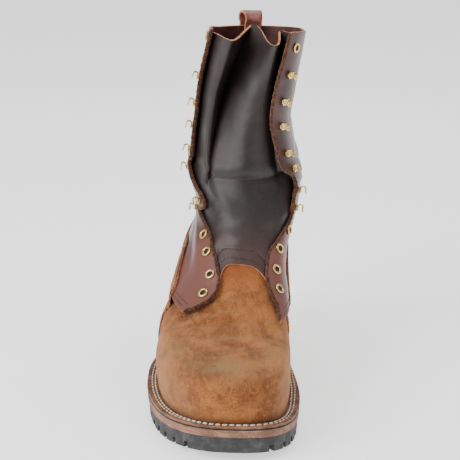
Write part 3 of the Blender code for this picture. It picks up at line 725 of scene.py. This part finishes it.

# %% [markdown]
# ## The leg and its facings
#
# The quarters and the leg are one sleeve of oiled leather, open at the front. Near the
# facings it stands off the form to leave room for the tongue. The flaps over the foot
# are painted paler, a painted highlight that stands for their shine.

# %% Lay the leg
SHAFT_WALL = 0.0024
TONGUE_WALL = 0.0018
FACING_SLACK = 0.0010
TONGUE_LAP = 0.012


def shaft_base(level, around):
    side_run = np.where(around < 0, run_of(level, -1), run_of(level, 1))
    edge = np.where(around < 0, facing(level, -1), facing(level, 1))
    past = (np.abs(around) - np.abs(edge)) * side_run
    room = TONGUE_WALL + FACING_SLACK
    return GAP + room * (1 - smooth((past - 2 * TONGUE_LAP) / (2 * TONGUE_LAP)))


def shaft_place(u, v):
    """Ring and place round it for a share u from the medial facing round to the lateral one."""
    level = SEAM_RING + (COLLAR - SEAM_RING) * v
    start = facing(level, 1)
    around = start + (2 + facing(level, -1) - start) * u
    return level, np.where(around > 1, around - 2, around)


def leg_relief(spots, level, around):
    """Soft folds at the ankle and a slack ripple up the leg."""
    relief = 0.5 * lumps(spots, 0.030, 11) + 0.18 * lumps(spots, 0.009, 12)
    for ring, depth, width, start, end in ANKLE_FOLDS:
        line = ring + 0.25 * np.sin(around * 9 + ring)
        reach = smooth((np.abs(around) - start) / 0.10) * smooth((end - np.abs(around)) / 0.10)
        relief += depth * reach * (-np.exp(-((level - line) / width) ** 2)
                                   + 0.6 * np.exp(-((level - line - 1.8 * width) / width) ** 2))
    return relief / 1000


ANKLE_FOLDS = (
    (11.7, 1.0, 0.16, 0.30, 0.80),
    (12.4, 0.9, 0.15, 0.26, 0.72),
    (13.1, 0.8, 0.14, 0.34, 0.90),
    (10.9, 0.7, 0.18, 0.34, 0.66),
    (14.2, 0.5, 0.14, 0.30, 0.60),
)


def place_leg(u, v):
    level, around = shaft_place(u, v)
    base = form(level, around, shaft_base(level, around))
    inward_limit = -0.0006
    relief = np.maximum(leg_relief(base, level, around), inward_limit)
    return base + form_normal(level, around) * relief[:, None]


leg_mesh = lay_grid("leg_sleeve", 280, 120, place_leg)


def low_painted_highlight(spots):
    """Painted highlight: how much paler the leather is painted near the foot."""
    return 0.9 * (1 - smooth((spots[:, 2] - 0.118) / 0.030))


# Painted highlight on the flaps over the foot, fading up the leg and towards the back.
mark(leg_mesh, "pull", lambda spots: low_painted_highlight(spots) * (1 - smooth((spots[:, 1] - 0.050) / 0.035)))
leg_sleeve = show("leg_sleeve", leg_mesh, (leg_leather, lining, light_edge), ("shaft",))
give_wall(leg_sleeve, SHAFT_WALL)
print("leg sleeve:", len(leg_mesh.polygons), "faces")

# %% [markdown]
# ## The raw facing edges
#
# The facing edges are left raw, and their fibres have fluffed up into a thick rust brown
# ribbon. Each is a swept ring of a few corners with a ragged outline.

# %% Sweep a ragged cord along each facing edge
def sweep(name, path, normals, wide, tall, around_count=12, rag=0.0, seed=5, taper=0.03):
    """Closed tube along a path; wide lies in the surface and tall stands out of it."""
    ahead = np.gradient(path, axis=0)
    ahead /= np.linalg.norm(ahead, axis=1)[:, None]
    aside = np.cross(ahead, normals)
    aside /= np.linalg.norm(aside, axis=1)[:, None]
    count = len(path) - 1

    def place(u, v):
        spot = u * count
        turn = v * 2 * math.pi
        frames = []
        steps = range(count + 1)
        for table in (path, aside, normals):
            frames.append(np.stack([np.interp(spot, steps, table[:, k]) for k in range(3)], axis=1))
        fade = np.sqrt(np.clip(np.minimum(u, 1 - u) / taper, 0.0, 1.0))
        section = frames[1] * (np.cos(turn) * wide / 2)[:, None]
        section = section + frames[2] * (np.sin(turn) * tall / 2)[:, None]
        spots = frames[0] + section * fade[:, None]
        if rag:
            out = section / (np.linalg.norm(section, axis=1)[:, None] + 1e-9)
            ragged = rag * (lumps(spots, 0.0022, seed) + 0.7 * lumps(spots, 0.0009, seed + 1))
            spots = spots + out * (ragged * fade)[:, None]
        return spots

    mesh = lay_grid(name, count * 2, around_count, place, merge=True)
    repair = bmesh.new()
    repair.from_mesh(mesh)
    bmesh.ops.recalc_face_normals(repair, faces=repair.faces[:])
    repair.to_mesh(mesh)
    repair.free()
    return mesh


for side, name in ((-1, "lateral"), (1, "medial")):
    level = np.linspace(SEAM_RING + 0.02, COLLAR - 0.02, 240)
    edge = facing(level, side)
    path = form(level, edge, shaft_base(level, edge) + SHAFT_WALL / 2)
    normals = form_normal(level, edge)
    mesh = sweep(f"raw_edge_{name}", path, normals, 0.0026, 0.0036, rag=0.00055)
    show(f"raw_edge_{name}", mesh, (rust_edge,))
print("raw edges: 2")

# %% [markdown]
# ## The folded tongue
#
# The tongue is sewn round the tab and under both facings. Unlaced, its middle hangs in
# a deep double fold, which is drawn here as a plan line for each ring: bulge, valley,
# ridge, lit panel, tip and pocket.

# %% Lay the tongue
TONGUE_FOOT = 9.95
TONGUE_ARCH = 2.5
TONGUE_TOP = COLLAR - 0.25
TONGUE_FOLDS = (
    (13.4, (-0.32, 0.61), (-0.27, 0.62), (-0.18, 0.60), (0.18, 0.58), (0.50, 0.60), (0.62, 0.62)),
    (14.0, (-0.33, 0.63), (-0.28, 0.65), (-0.18, 0.62), (0.18, 0.59), (0.48, 0.61), (0.58, 0.63)),
    (15.0, (-0.29, 0.65), (-0.20, 0.70), (-0.09, 0.66), (0.18, 0.62), (0.44, 0.62), (0.54, 0.65)),
    (16.0, (-0.22, 0.65), (-0.11, 0.73), (0.02, 0.69), (0.25, 0.64), (0.47, 0.63), (0.57, 0.67)),
    (17.0, (-0.08, 0.64), (0.06, 0.74), (0.14, 0.74), (0.34, 0.67), (0.56, 0.62), (0.60, 0.68)),
    (18.0, (0.03, 0.62), (0.17, 0.73), (0.28, 0.77), (0.47, 0.69), (0.64, 0.61), (0.62, 0.69)),
)
PLACES = np.linspace(0, 1, 121)


def tongue_edge(level, side):
    return facing(level, side) + side * TONGUE_LAP / run_of(level, side)


def fold_row(level):
    """Plan of the folded tongue on one ring."""
    keys = [row[0] for row in TONGUE_FOLDS]
    plan = spline_by(keys, [np.ravel(row[1:]) for row in TONGUE_FOLDS], max(level, keys[0])).reshape(-1, 2)
    plan = plan * (BALL_HALF, SOLE_LENGTH) - (0.0, TOE_TO_BALL)
    ends = [form(level, tongue_edge(level, side), GAP)[:2] for side in (-1, 1)]
    rows = [ends[0], *plan, ends[1]]
    return [spline(rows, share * (len(rows) - 1)) for share in PLACES]


FOLD_LEVELS = np.arange(11.5, COLLAR + 0.01, 0.1)
FOLDS = np.array([fold_row(level) for level in FOLD_LEVELS])


def fold_at(level, share):
    row = np.clip((level - FOLD_LEVELS[0]) / 0.1, 0, len(FOLD_LEVELS) - 1.00001)
    column = np.clip(share, 0, 1) * (len(PLACES) - 1.00001)
    r0, c0 = row.astype(int), column.astype(int)
    fr, fc = (row - r0)[:, None], (column - c0)[:, None]
    low = FOLDS[r0, c0] * (1 - fc) + FOLDS[r0, c0 + 1] * fc
    high = FOLDS[r0 + 1, c0] * (1 - fc) + FOLDS[r0 + 1, c0 + 1] * fc
    return low * (1 - fr) + high * fr


def tongue_level(share, rise):
    arch = np.abs(2 * share - 1) ** 2.8
    bottom = TONGUE_FOOT - TONGUE_ARCH * arch
    dip = 0.45 * np.exp(-((share - 0.68) / 0.13) ** 2) + 0.15 * np.exp(-((share - 0.2) / 0.12) ** 2)
    return bottom + (TONGUE_TOP - dip - bottom) * rise, bottom


def tongue_relief(share, level, bottom, spots):
    """Puffed band above the sewn strip, a crease at the shin and small wrinkles."""
    above = level - bottom
    relief = 1.5 * np.exp(-((above - 1.05) / 0.32) ** 2) - 0.5 * np.exp(-((above - 0.66) / 0.10) ** 2)
    relief *= smooth((0.5 - np.abs(share - 0.5)) / 0.25)
    relief -= 1.6 * np.exp(-((level - 13.2 - 0.5 * (share - 0.5)) / 0.20) ** 2) * smooth((share - 0.18) / 0.2)
    relief += 1.1 * np.exp(-((level - 13.7 - 0.5 * (share - 0.5)) / 0.28) ** 2) * smooth((share - 0.18) / 0.2)
    relief += 0.45 * lumps(spots, 0.020, 21) + 0.14 * lumps(spots, 0.007, 22)
    return relief / 1000


def place_tongue(u, v):
    rise = 0.7 * v + 0.3 * v * v
    level, bottom = tongue_level(u, rise)
    low = tongue_edge(level, -1)
    high = tongue_edge(level, 1)
    around = low + (high - low) * u
    flat = form(level, around, GAP)
    fold = smooth((level - 11.6) / 2.0)[:, None]
    plan = fold_at(level, u)
    spots = flat * (1 - fold) + np.column_stack([plan, flat[:, 2]]) * fold
    relief = tongue_relief(u, level, bottom, spots)
    seam = smooth(np.minimum(u, 1 - u) / 0.08)
    facing_out = form_normal(level, around) * (1 - fold) + np.array([0.0, -1.0, 0.0]) * fold
    return spots + facing_out * (relief * seam)[:, None]


tongue_mesh = lay_grid("tongue_sheet", 200, 170, place_tongue)
# Painted highlight on the lower tongue.
mark(tongue_mesh, "pull", low_painted_highlight)
tongue_sheet = show("tongue_sheet", tongue_mesh,
                    (tongue_leather, lining, light_edge), ("tongue",))
give_wall(tongue_sheet, TONGUE_WALL)
print("tongue:", len(tongue_mesh.polygons), "faces")

# %% [markdown]
# ## The heel counter
#
# A second piece of suede wraps the heel. It covers the seam between foot and leg, so it
# lies flat on the foot in front and climbs over the leg's leather behind.

# %% Lay the counter
COUNTER_FOOT = 0.1
COUNTER_TOP = 9.3
COUNTER_DIP = 1.1
COUNTER_WALL = 0.0014
COUNTER_FRONT = ((0.0, 0.47), (3.0, 0.44), (5.0, 0.42), (7.0, 0.43), (8.0, 0.49), (9.3, 0.61))
front_edges = {-1: [], 1: []}
for row_index, level in enumerate(LEVELS):
    front = spline_by([row[0] for row in COUNTER_FRONT], [[row[1]] for row in COUNTER_FRONT], level)[0]
    for side in (-1, 1):
        points = FORM[row_index, PER_SIDE::-1] if side < 0 else FORM[row_index, PER_SIDE:]
        shares = np.arange(len(points)) / PER_SIDE
        front_edges[side].append(side * np.interp(front * SOLE_LENGTH - TOE_TO_BALL, points[:, 1], shares))


def counter_top(past):
    return COUNTER_TOP - COUNTER_DIP * np.sin(math.pi * past * 0.62) ** 1.2


def counter_spot(past, side, level):
    """Place round the ring for a share past the counter's front edge."""
    edges = {key: np.interp(level, LEVELS, front_edges[key]) for key in (-1, 1)}
    edge = np.where(side > 0, edges[1], edges[-1])
    return edge + (side - edge) * past


def counter_offset(level, around):
    lap = smooth((level - 5.9) / 1.0)
    over = shaft_base(level, around) + SHAFT_WALL + 0.0004
    return 0.0004 + (over - 0.0004) * lap


def place_counter(u, v):
    side = np.where(u <= 0.5, 1, -1)
    past = 1 - np.abs(2 * u - 1)
    level = COUNTER_FOOT + (counter_top(past) - COUNTER_FOOT) * v
    around = counter_spot(past, side, level)
    base = form(level, around, counter_offset(level, around))
    relief = foot_relief(base) * (1 - smooth((level - 5) / 2))
    return base + form_normal(level, around) * (relief + 0.0003 * lumps(base, 0.012, 31))[:, None]


counter_mesh = lay_grid("suede_counter", 220, 80, place_counter)
mark(counter_mesh, "shade", painted_rim_shade)
suede_counter = show("suede_counter", counter_mesh, (suede_nap, lining, tab_edge), ("counter",))
give_wall(suede_counter, COUNTER_WALL)
print("counter:", len(counter_mesh.polygons), "faces")

# %% [markdown]
# ## Stitches
#
# A stitch is a short thread that dips into the leather at both ends. Each one here is a
# small sphere stretched along its row. Cream thread holds the welt, brown thread the rest.

# %% A helper that sews a row
stitch_bm = bmesh.new()
bmesh.ops.create_uvsphere(stitch_bm, u_segments=6, v_segments=5, radius=1.0)
one_stitch = mesh_from("one_stitch", stitch_bm)


def sew(bm, path, normals, pitch, length, radius):
    run = np.concatenate([[0.0], np.cumsum(np.linalg.norm(np.diff(path, axis=0), axis=1))])
    count = max(int(run[-1] / pitch), 1)
    for k in range(count):
        here = (k + 0.5) * run[-1] / count
        spots = [np.array([np.interp(here + step, run, path[:, axis]) for axis in range(3)])
                 for step in (-length / 2, 0, length / 2)]
        out = Vector([np.interp(here, run, normals[:, a]) for a in range(3)]).normalized()
        ahead = Vector(spots[2] - spots[0]).normalized()
        aside = out.cross(ahead).normalized()
        out = ahead.cross(aside)
        turn = Matrix((aside, out, ahead)).transposed().to_4x4()
        size = Matrix.Diagonal((radius, radius * 0.8, length / 2, 1))
        copy = one_stitch.copy()
        copy.transform(Matrix.Translation(Vector(spots[1])) @ turn @ size)
        bm.from_mesh(copy)
        bpy.data.meshes.remove(copy)
    return count


def show_threads(name, bm, material):
    return show(name, mesh_from(name, bm, soft=True), (material,))


# %% Sew the welt
STITCH_LIFT = 0.0001
WELT_ROWS = (
    # distance from the upper, pitch, length and radius of a stitch
    (0.0024, 0.0054, 0.0044, 0.00075),
    (0.0050, 0.0054, 0.0040, 0.00060),
)
welt_bm = bmesh.new()
sewn = 0
around = np.linspace(-0.93, 0.93, 500)
feather = form(0.0, around)
outward = form_normal(0.6, around)
outward[:, 2] = 0.0
outward /= np.linalg.norm(outward, axis=1)[:, None]
upright = np.tile([0.0, 0.0, 1.0], (len(around), 1))
for distance, pitch, length, radius in WELT_ROWS:
    row = feather + outward * distance
    row[:, 2] = sole_top(row[:, 1] + TOE_TO_BALL) + 0.0002
    sewn += sew(welt_bm, row, upright, pitch, length, radius)
show_threads("welt_stitches", welt_bm, cream_thread)
print("welt stitches:", sewn)

# %% Sew the tongue, the flaps and the counter
TONGUE_ROWS = (0.24, 0.62)
FLAP_ROWS = (7.28, 7.55)
COUNTER_FRONT_ROWS = (0.012, 0.026)
COUNTER_TOP_ROWS = (0.18, 0.40)
seam_bm = bmesh.new()


def sew_on(level, turn, surface, pitch=0.0034, length=0.0026, radius=0.00042):
    """Sew a row along the form, just clear of a surface that lies outside it."""
    row = form(level, turn, surface + STITCH_LIFT)
    return sew(seam_bm, row, form_normal(level, turn), pitch, length, radius)


share = np.linspace(0.10, 0.90, 160)
for above in TONGUE_ROWS:
    level, bottom = tongue_level(share, np.zeros(len(share)))
    level = bottom + above
    turn = tongue_edge(level, -1) + (tongue_edge(level, 1) - tongue_edge(level, -1)) * share
    sewn += sew_on(level, turn, GAP + TONGUE_WALL, 0.0032, 0.0024, 0.0004)
for side in (-1, 1):
    for flap_level in FLAP_ROWS:
        start = float(facing(flap_level, side)) + side * 0.025
        turn = np.linspace(start, side * 0.62, 120)
        level = np.full(len(turn), flap_level)
        sewn += sew_on(level, turn, shaft_base(level, turn) + SHAFT_WALL)
    for inset in COUNTER_FRONT_ROWS:
        level = np.linspace(0.7, COUNTER_TOP - 0.3, 160)
        turn = counter_spot(np.full(len(level), inset), side, level)
        sewn += sew_on(level, turn, counter_offset(level, turn) + COUNTER_WALL)
    for below in COUNTER_TOP_ROWS:
        past = np.linspace(0.03, 1.0, 200)
        level = counter_top(past) - below
        turn = counter_spot(past, side, level)
        sewn += sew_on(level, turn, counter_offset(level, turn) + COUNTER_WALL)
show_threads("seam_stitches", seam_bm, brown_thread)
print("stitches in all:", sewn)

# %% [markdown]
# ## Brass fittings
#
# Four eyelets, seven speed hooks and a top eyelet stand beside each facing. A speed hook
# is a strip of brass riveted down at one end and curled back over itself. An eyelet is a
# tube whose lip is rolled over, which is a small circle spun round.

# %% Find where the fittings stand
HARDWARE_INSET = 0.0085
FITTINGS = (
    ("eyelet", 8.40, 8.63), ("eyelet", 9.23, 9.50), ("eyelet", 9.99, 10.33), ("eyelet", 10.60, 10.98),
    ("hook", 11.40, 11.73), ("hook", 11.95, 12.40), ("hook", 13.03, 13.47), ("hook", 13.82, 14.19),
    ("hook", 14.54, 14.96), ("hook", 15.29, 15.77), ("hook", 16.17, 16.51), ("eyelet", 17.55, 17.32),
)


def fitting_frame(level, side):
    """Turn and place of a fitting: its X lies across the facing, its Z stands out."""
    around = float(facing(level, side)) + side * HARDWARE_INSET / float(run_of(level, side))
    offset = float(shaft_base(np.array(level), np.array(around))) + SHAFT_WALL
    place = Vector(form(level, around, offset))
    out = Vector(form_normal(level, around))
    along = Vector(form(level + 0.2, around, offset)) - Vector(form(level - 0.2, around, offset))
    across = along.cross(out).normalized()
    along = out.cross(across)
    return Matrix.Translation(place + out * 0.0005) @ Matrix((across, along, out)).transposed().to_4x4()


# %% Shape one hook and one eyelet
def hook_strip():
    """Curled strip with a round tip, as an open sheet."""
    turns = np.linspace(0, math.pi, 9)
    line = [(-0.0030, 0.0006), (-0.0012, 0.0006)]
    line += [(0.0008 + 0.0026 * math.sin(a), 0.0032 - 0.0026 * math.cos(a)) for a in turns]
    line += [(-0.0014, 0.0060), (-0.0034, 0.0064)]
    line = np.array(line)
    run = np.concatenate([[0.0], np.cumsum(np.linalg.norm(np.diff(line, axis=0), axis=1))])

    def place(u, v):
        here = v * run[-1]
        tip = np.sqrt(np.clip(1 - (np.clip(v - 0.80, 0, 1) / 0.20) ** 2, 0.05, 1))
        neck = 1 - 0.35 * np.exp(-((v - 0.45) / 0.16) ** 2)
        return np.stack([(0.5 - u) * 0.0050 * tip * neck, np.interp(here, run, line[:, 0]),
                         np.interp(here, run, line[:, 1])], axis=1)

    return lay_grid("hook_strip", 4, 16, place)


def gather(name, base, frames):
    """Copies of one mesh at every frame, joined in one mesh."""
    bm = bmesh.new()
    for turn in frames:
        copy = base.copy()
        copy.transform(turn)
        bm.from_mesh(copy)
        bpy.data.meshes.remove(copy)
    bmesh.ops.recalc_face_normals(bm, faces=bm.faces[:])
    return mesh_from(name, bm, soft=True)


strip = hook_strip()
thick = bmesh.new()
thick.from_mesh(strip)
bmesh.ops.solidify(thick, geom=thick.faces[:], thickness=0.0010)
bmesh.ops.create_cone(thick, cap_ends=True, segments=20, radius1=0.0031, radius2=0.0027, depth=0.0005,
                      matrix=Matrix.Translation((0, -0.0006, 0.0001)))
bmesh.ops.create_uvsphere(thick, u_segments=12, v_segments=8, radius=0.0015,
                          matrix=Matrix.Translation((0, -0.0012, 0.0008)) @ Matrix.Diagonal((1, 1, 0.6, 1)))
thick.to_mesh(strip)
thick.free()

ring_bm = bmesh.new()
bmesh.ops.create_circle(ring_bm, segments=10, radius=0.00105,
                        matrix=Matrix.Translation((0.0034, 0, 0.0006)) @ Matrix.Rotation(math.pi / 2, 4, "X"))
bmesh.ops.spin(ring_bm, geom=ring_bm.edges[:], axis=(0, 0, 1), cent=(0, 0, 0), steps=28,
               angle=2 * math.pi, use_merge=True)
bmesh.ops.remove_doubles(ring_bm, verts=ring_bm.verts[:], dist=1e-6)
bmesh.ops.transform(ring_bm, matrix=Matrix.Diagonal((1, 1, 0.75, 1)), verts=ring_bm.verts[:])
rolled_ring = mesh_from("rolled_ring", ring_bm)

# %% Set the hooks and the eyelets beside both facings
for side, name in ((-1, "lateral"), (1, "medial")):
    column = 1 if side < 0 else 2
    for kind, base, count in (("hook", strip, 7), ("eyelet", rolled_ring, 5)):
        frames = [fitting_frame(row[column], side) for row in FITTINGS if row[0] == kind]
        mesh = gather(f"{kind}s_{name}", base, frames)
        show(f"{kind}s_{name}", mesh, (brass,), [f"{kind}_{name}_{k + 1}" for k in range(count)])
    # Dark discs inside the eyelets paint the shade in the lace holes.
    hole_bm = bmesh.new()
    for row in FITTINGS:
        if row[0] == "eyelet":
            bmesh.ops.create_cone(hole_bm, cap_ends=True, segments=20, radius1=0.0028,
                                  radius2=0.0028, depth=0.0006, matrix=fitting_frame(row[column], side))
    show(f"painted_hole_shade_{name}", mesh_from(f"painted_hole_shade_{name}", hole_bm), (painted_shade,))
print("fittings per side:", len(FITTINGS))

# %% [markdown]
# ## The pull loop
#
# A strap of paler leather is sewn over the back of the collar, to pull the boot on by.

# %% Bend the strap over the collar
LOOP_WIDTH = 0.019
LOOP_WALL = 0.0022
LOOP_RISE = 0.013
LOOP_RINGS = (16.9, 17.3, 17.7)
half = LOOP_WIDTH / 2 / float(run_of(COLLAR, 1))
columns = np.linspace(-1, 1, 9)
outer = SHAFT_WALL + 2 * GAP
inner = -LOOP_WALL - GAP


def wrap(turn):
    return np.where(turn > 1, turn - 2, turn)


loop_rows = [form(level, wrap(1 + half * columns), outer) for level in LOOP_RINGS]
for step in range(7):
    turn = math.pi * (step / 4 - 0.25)
    bulge = 0.8 * (outer - inner) * math.cos(turn) + (outer + inner) / 2
    row = form(COLLAR, wrap(1 + half * columns), bulge)
    loop_rows.append(row + np.array([0, 0, LOOP_RISE * (0.5 + 0.4 * math.sin(turn))]))
loop_rows += [form(level, wrap(1 + half * columns), inner) for level in LOOP_RINGS[::-1]]
loop_rows = np.array(loop_rows)


def place_loop(u, v):
    flat_rows = loop_rows.reshape(len(loop_rows), -1)
    rows = np.array([spline(flat_rows, share * (len(loop_rows) - 1)) for share in v])
    rows = rows.reshape(len(v), len(columns), 3)
    spot = u * (len(columns) - 1)
    low = np.minimum(spot.astype(int), len(columns) - 2)
    part = (spot - low)[:, None]
    each = np.arange(len(v))
    return rows[each, low] * (1 - part) + rows[each, low + 1] * part


loop_mesh = lay_grid("pull_strap", 10, 60, place_loop)
pull_strap = show("pull_strap", loop_mesh,
                  (loop_leather, loop_leather, light_edge), ("pull_loop",))
give_wall(pull_strap, LOOP_WALL, 0.0005)
print("pull strap:", len(loop_mesh.polygons), "faces")

# %% [markdown]
# ## The sole
#
# Under the foot lie a welt of tan leather, a midsole and heel lifts of stacked leather,
# and treads of black rubber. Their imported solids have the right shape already, so they
# only get their finishes. The stacked leather is streaked along its layers.

# %% Finish the sole's pieces
def make_stack(name, dark, light, streaks):
    material, tree, shader, place = new_finish(name, 0.62)
    skin = skin_of(tree, place, 55.0, dark, light, 0.15)
    layer = noise_at(tree, place, 60.0, 4.0, 0.7, (0.5, 0.5, streaks))
    between = (*(0.35 * part for part in dark), 1)
    skin = mix(tree, spread(tree, layer, 0.45, 0.70, 0.0, 0.8), skin, between)
    feed(tree, shader.inputs["Base Color"], skin)
    bump(tree, shader, layer, 0.0006, 0.6)
    return material


stacked = make_stack("stacked_leather_edge", (0.17, 0.072, 0.038), (0.34, 0.165, 0.095), 14.0)
welt_finish = make_stack("welt_edge", (0.15, 0.060, 0.026), (0.29, 0.135, 0.060), 5.0)
insole_finish = make_leather("insole_skin", (0.20, 0.10, 0.05), (0.34, 0.19, 0.10), 0.7, 0.0, 50.0)


def make_rubber():
    material, tree, shader, place = new_finish("tread_rubber", 0.72)
    dust = noise_at(tree, place, 90.0, 5.0, 0.65)
    colour = mix(tree, spread(tree, dust, 0.42, 0.75), (0.022, 0.022, 0.024, 1), (0.070, 0.068, 0.068, 1))
    feed(tree, shader.inputs["Base Color"], colour)
    grain_bump(tree, shader, place, 700.0, 120.0, 0.8, 0.0003, 0.5)
    return material


rubber = make_rubber()
SOLE_FINISHES = {
    "outsole": rubber, "heel_cap": rubber, "midsole": stacked, "welt": welt_finish, "insole": insole_finish,
    "heel_lift_1": stacked, "heel_lift_2": stacked, "heel_lift_3": stacked,
}
for name, finish in SOLE_FINISHES.items():
    for material_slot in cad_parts[name].material_slots:
        material_slot.material = finish
print("finished solids:", len(SOLE_FINISHES))

# %% Paint shade into the groove between welt and midsole
SOLE_RIM = (0.0, 1.0, 0, 0, 0, 0, 0.43, 0.26, 1.0, 1.0, 0.19, 0.0, 2.3, 2.5, 2.4, 0.20)
lateral_x, lateral_y = ring_plan(SOLE_RIM, -1, np.linspace(math.pi, 0, 241))
medial_x, medial_y = ring_plan(SOLE_RIM, 1, np.linspace(0, math.pi, 241))
outline = np.column_stack([np.concatenate([lateral_x, medial_x[1:]]),
                           np.concatenate([lateral_y, medial_y[1:]])])
groove_height = sole_bottom(outline[:, 1]) + TREAD + MIDSOLE + 1.5 * GAP
groove = np.column_stack([outline[:, 0], outline[:, 1] - TOE_TO_BALL, groove_height])
step_out = np.gradient(groove, axis=0)
side_out = np.column_stack([step_out[:, 1], -step_out[:, 0], np.zeros(len(step_out))])
side_out /= np.linalg.norm(side_out, axis=1)[:, None] + 1e-12
# A thin dark cord laid in the groove is painted shade.
groove_mesh = sweep("welt_groove_shade", groove[4:-4], side_out[4:-4], 0.0012, 0.0007, around_count=6, taper=0.004)
show("welt_groove_shade", groove_mesh, (painted_shade,))
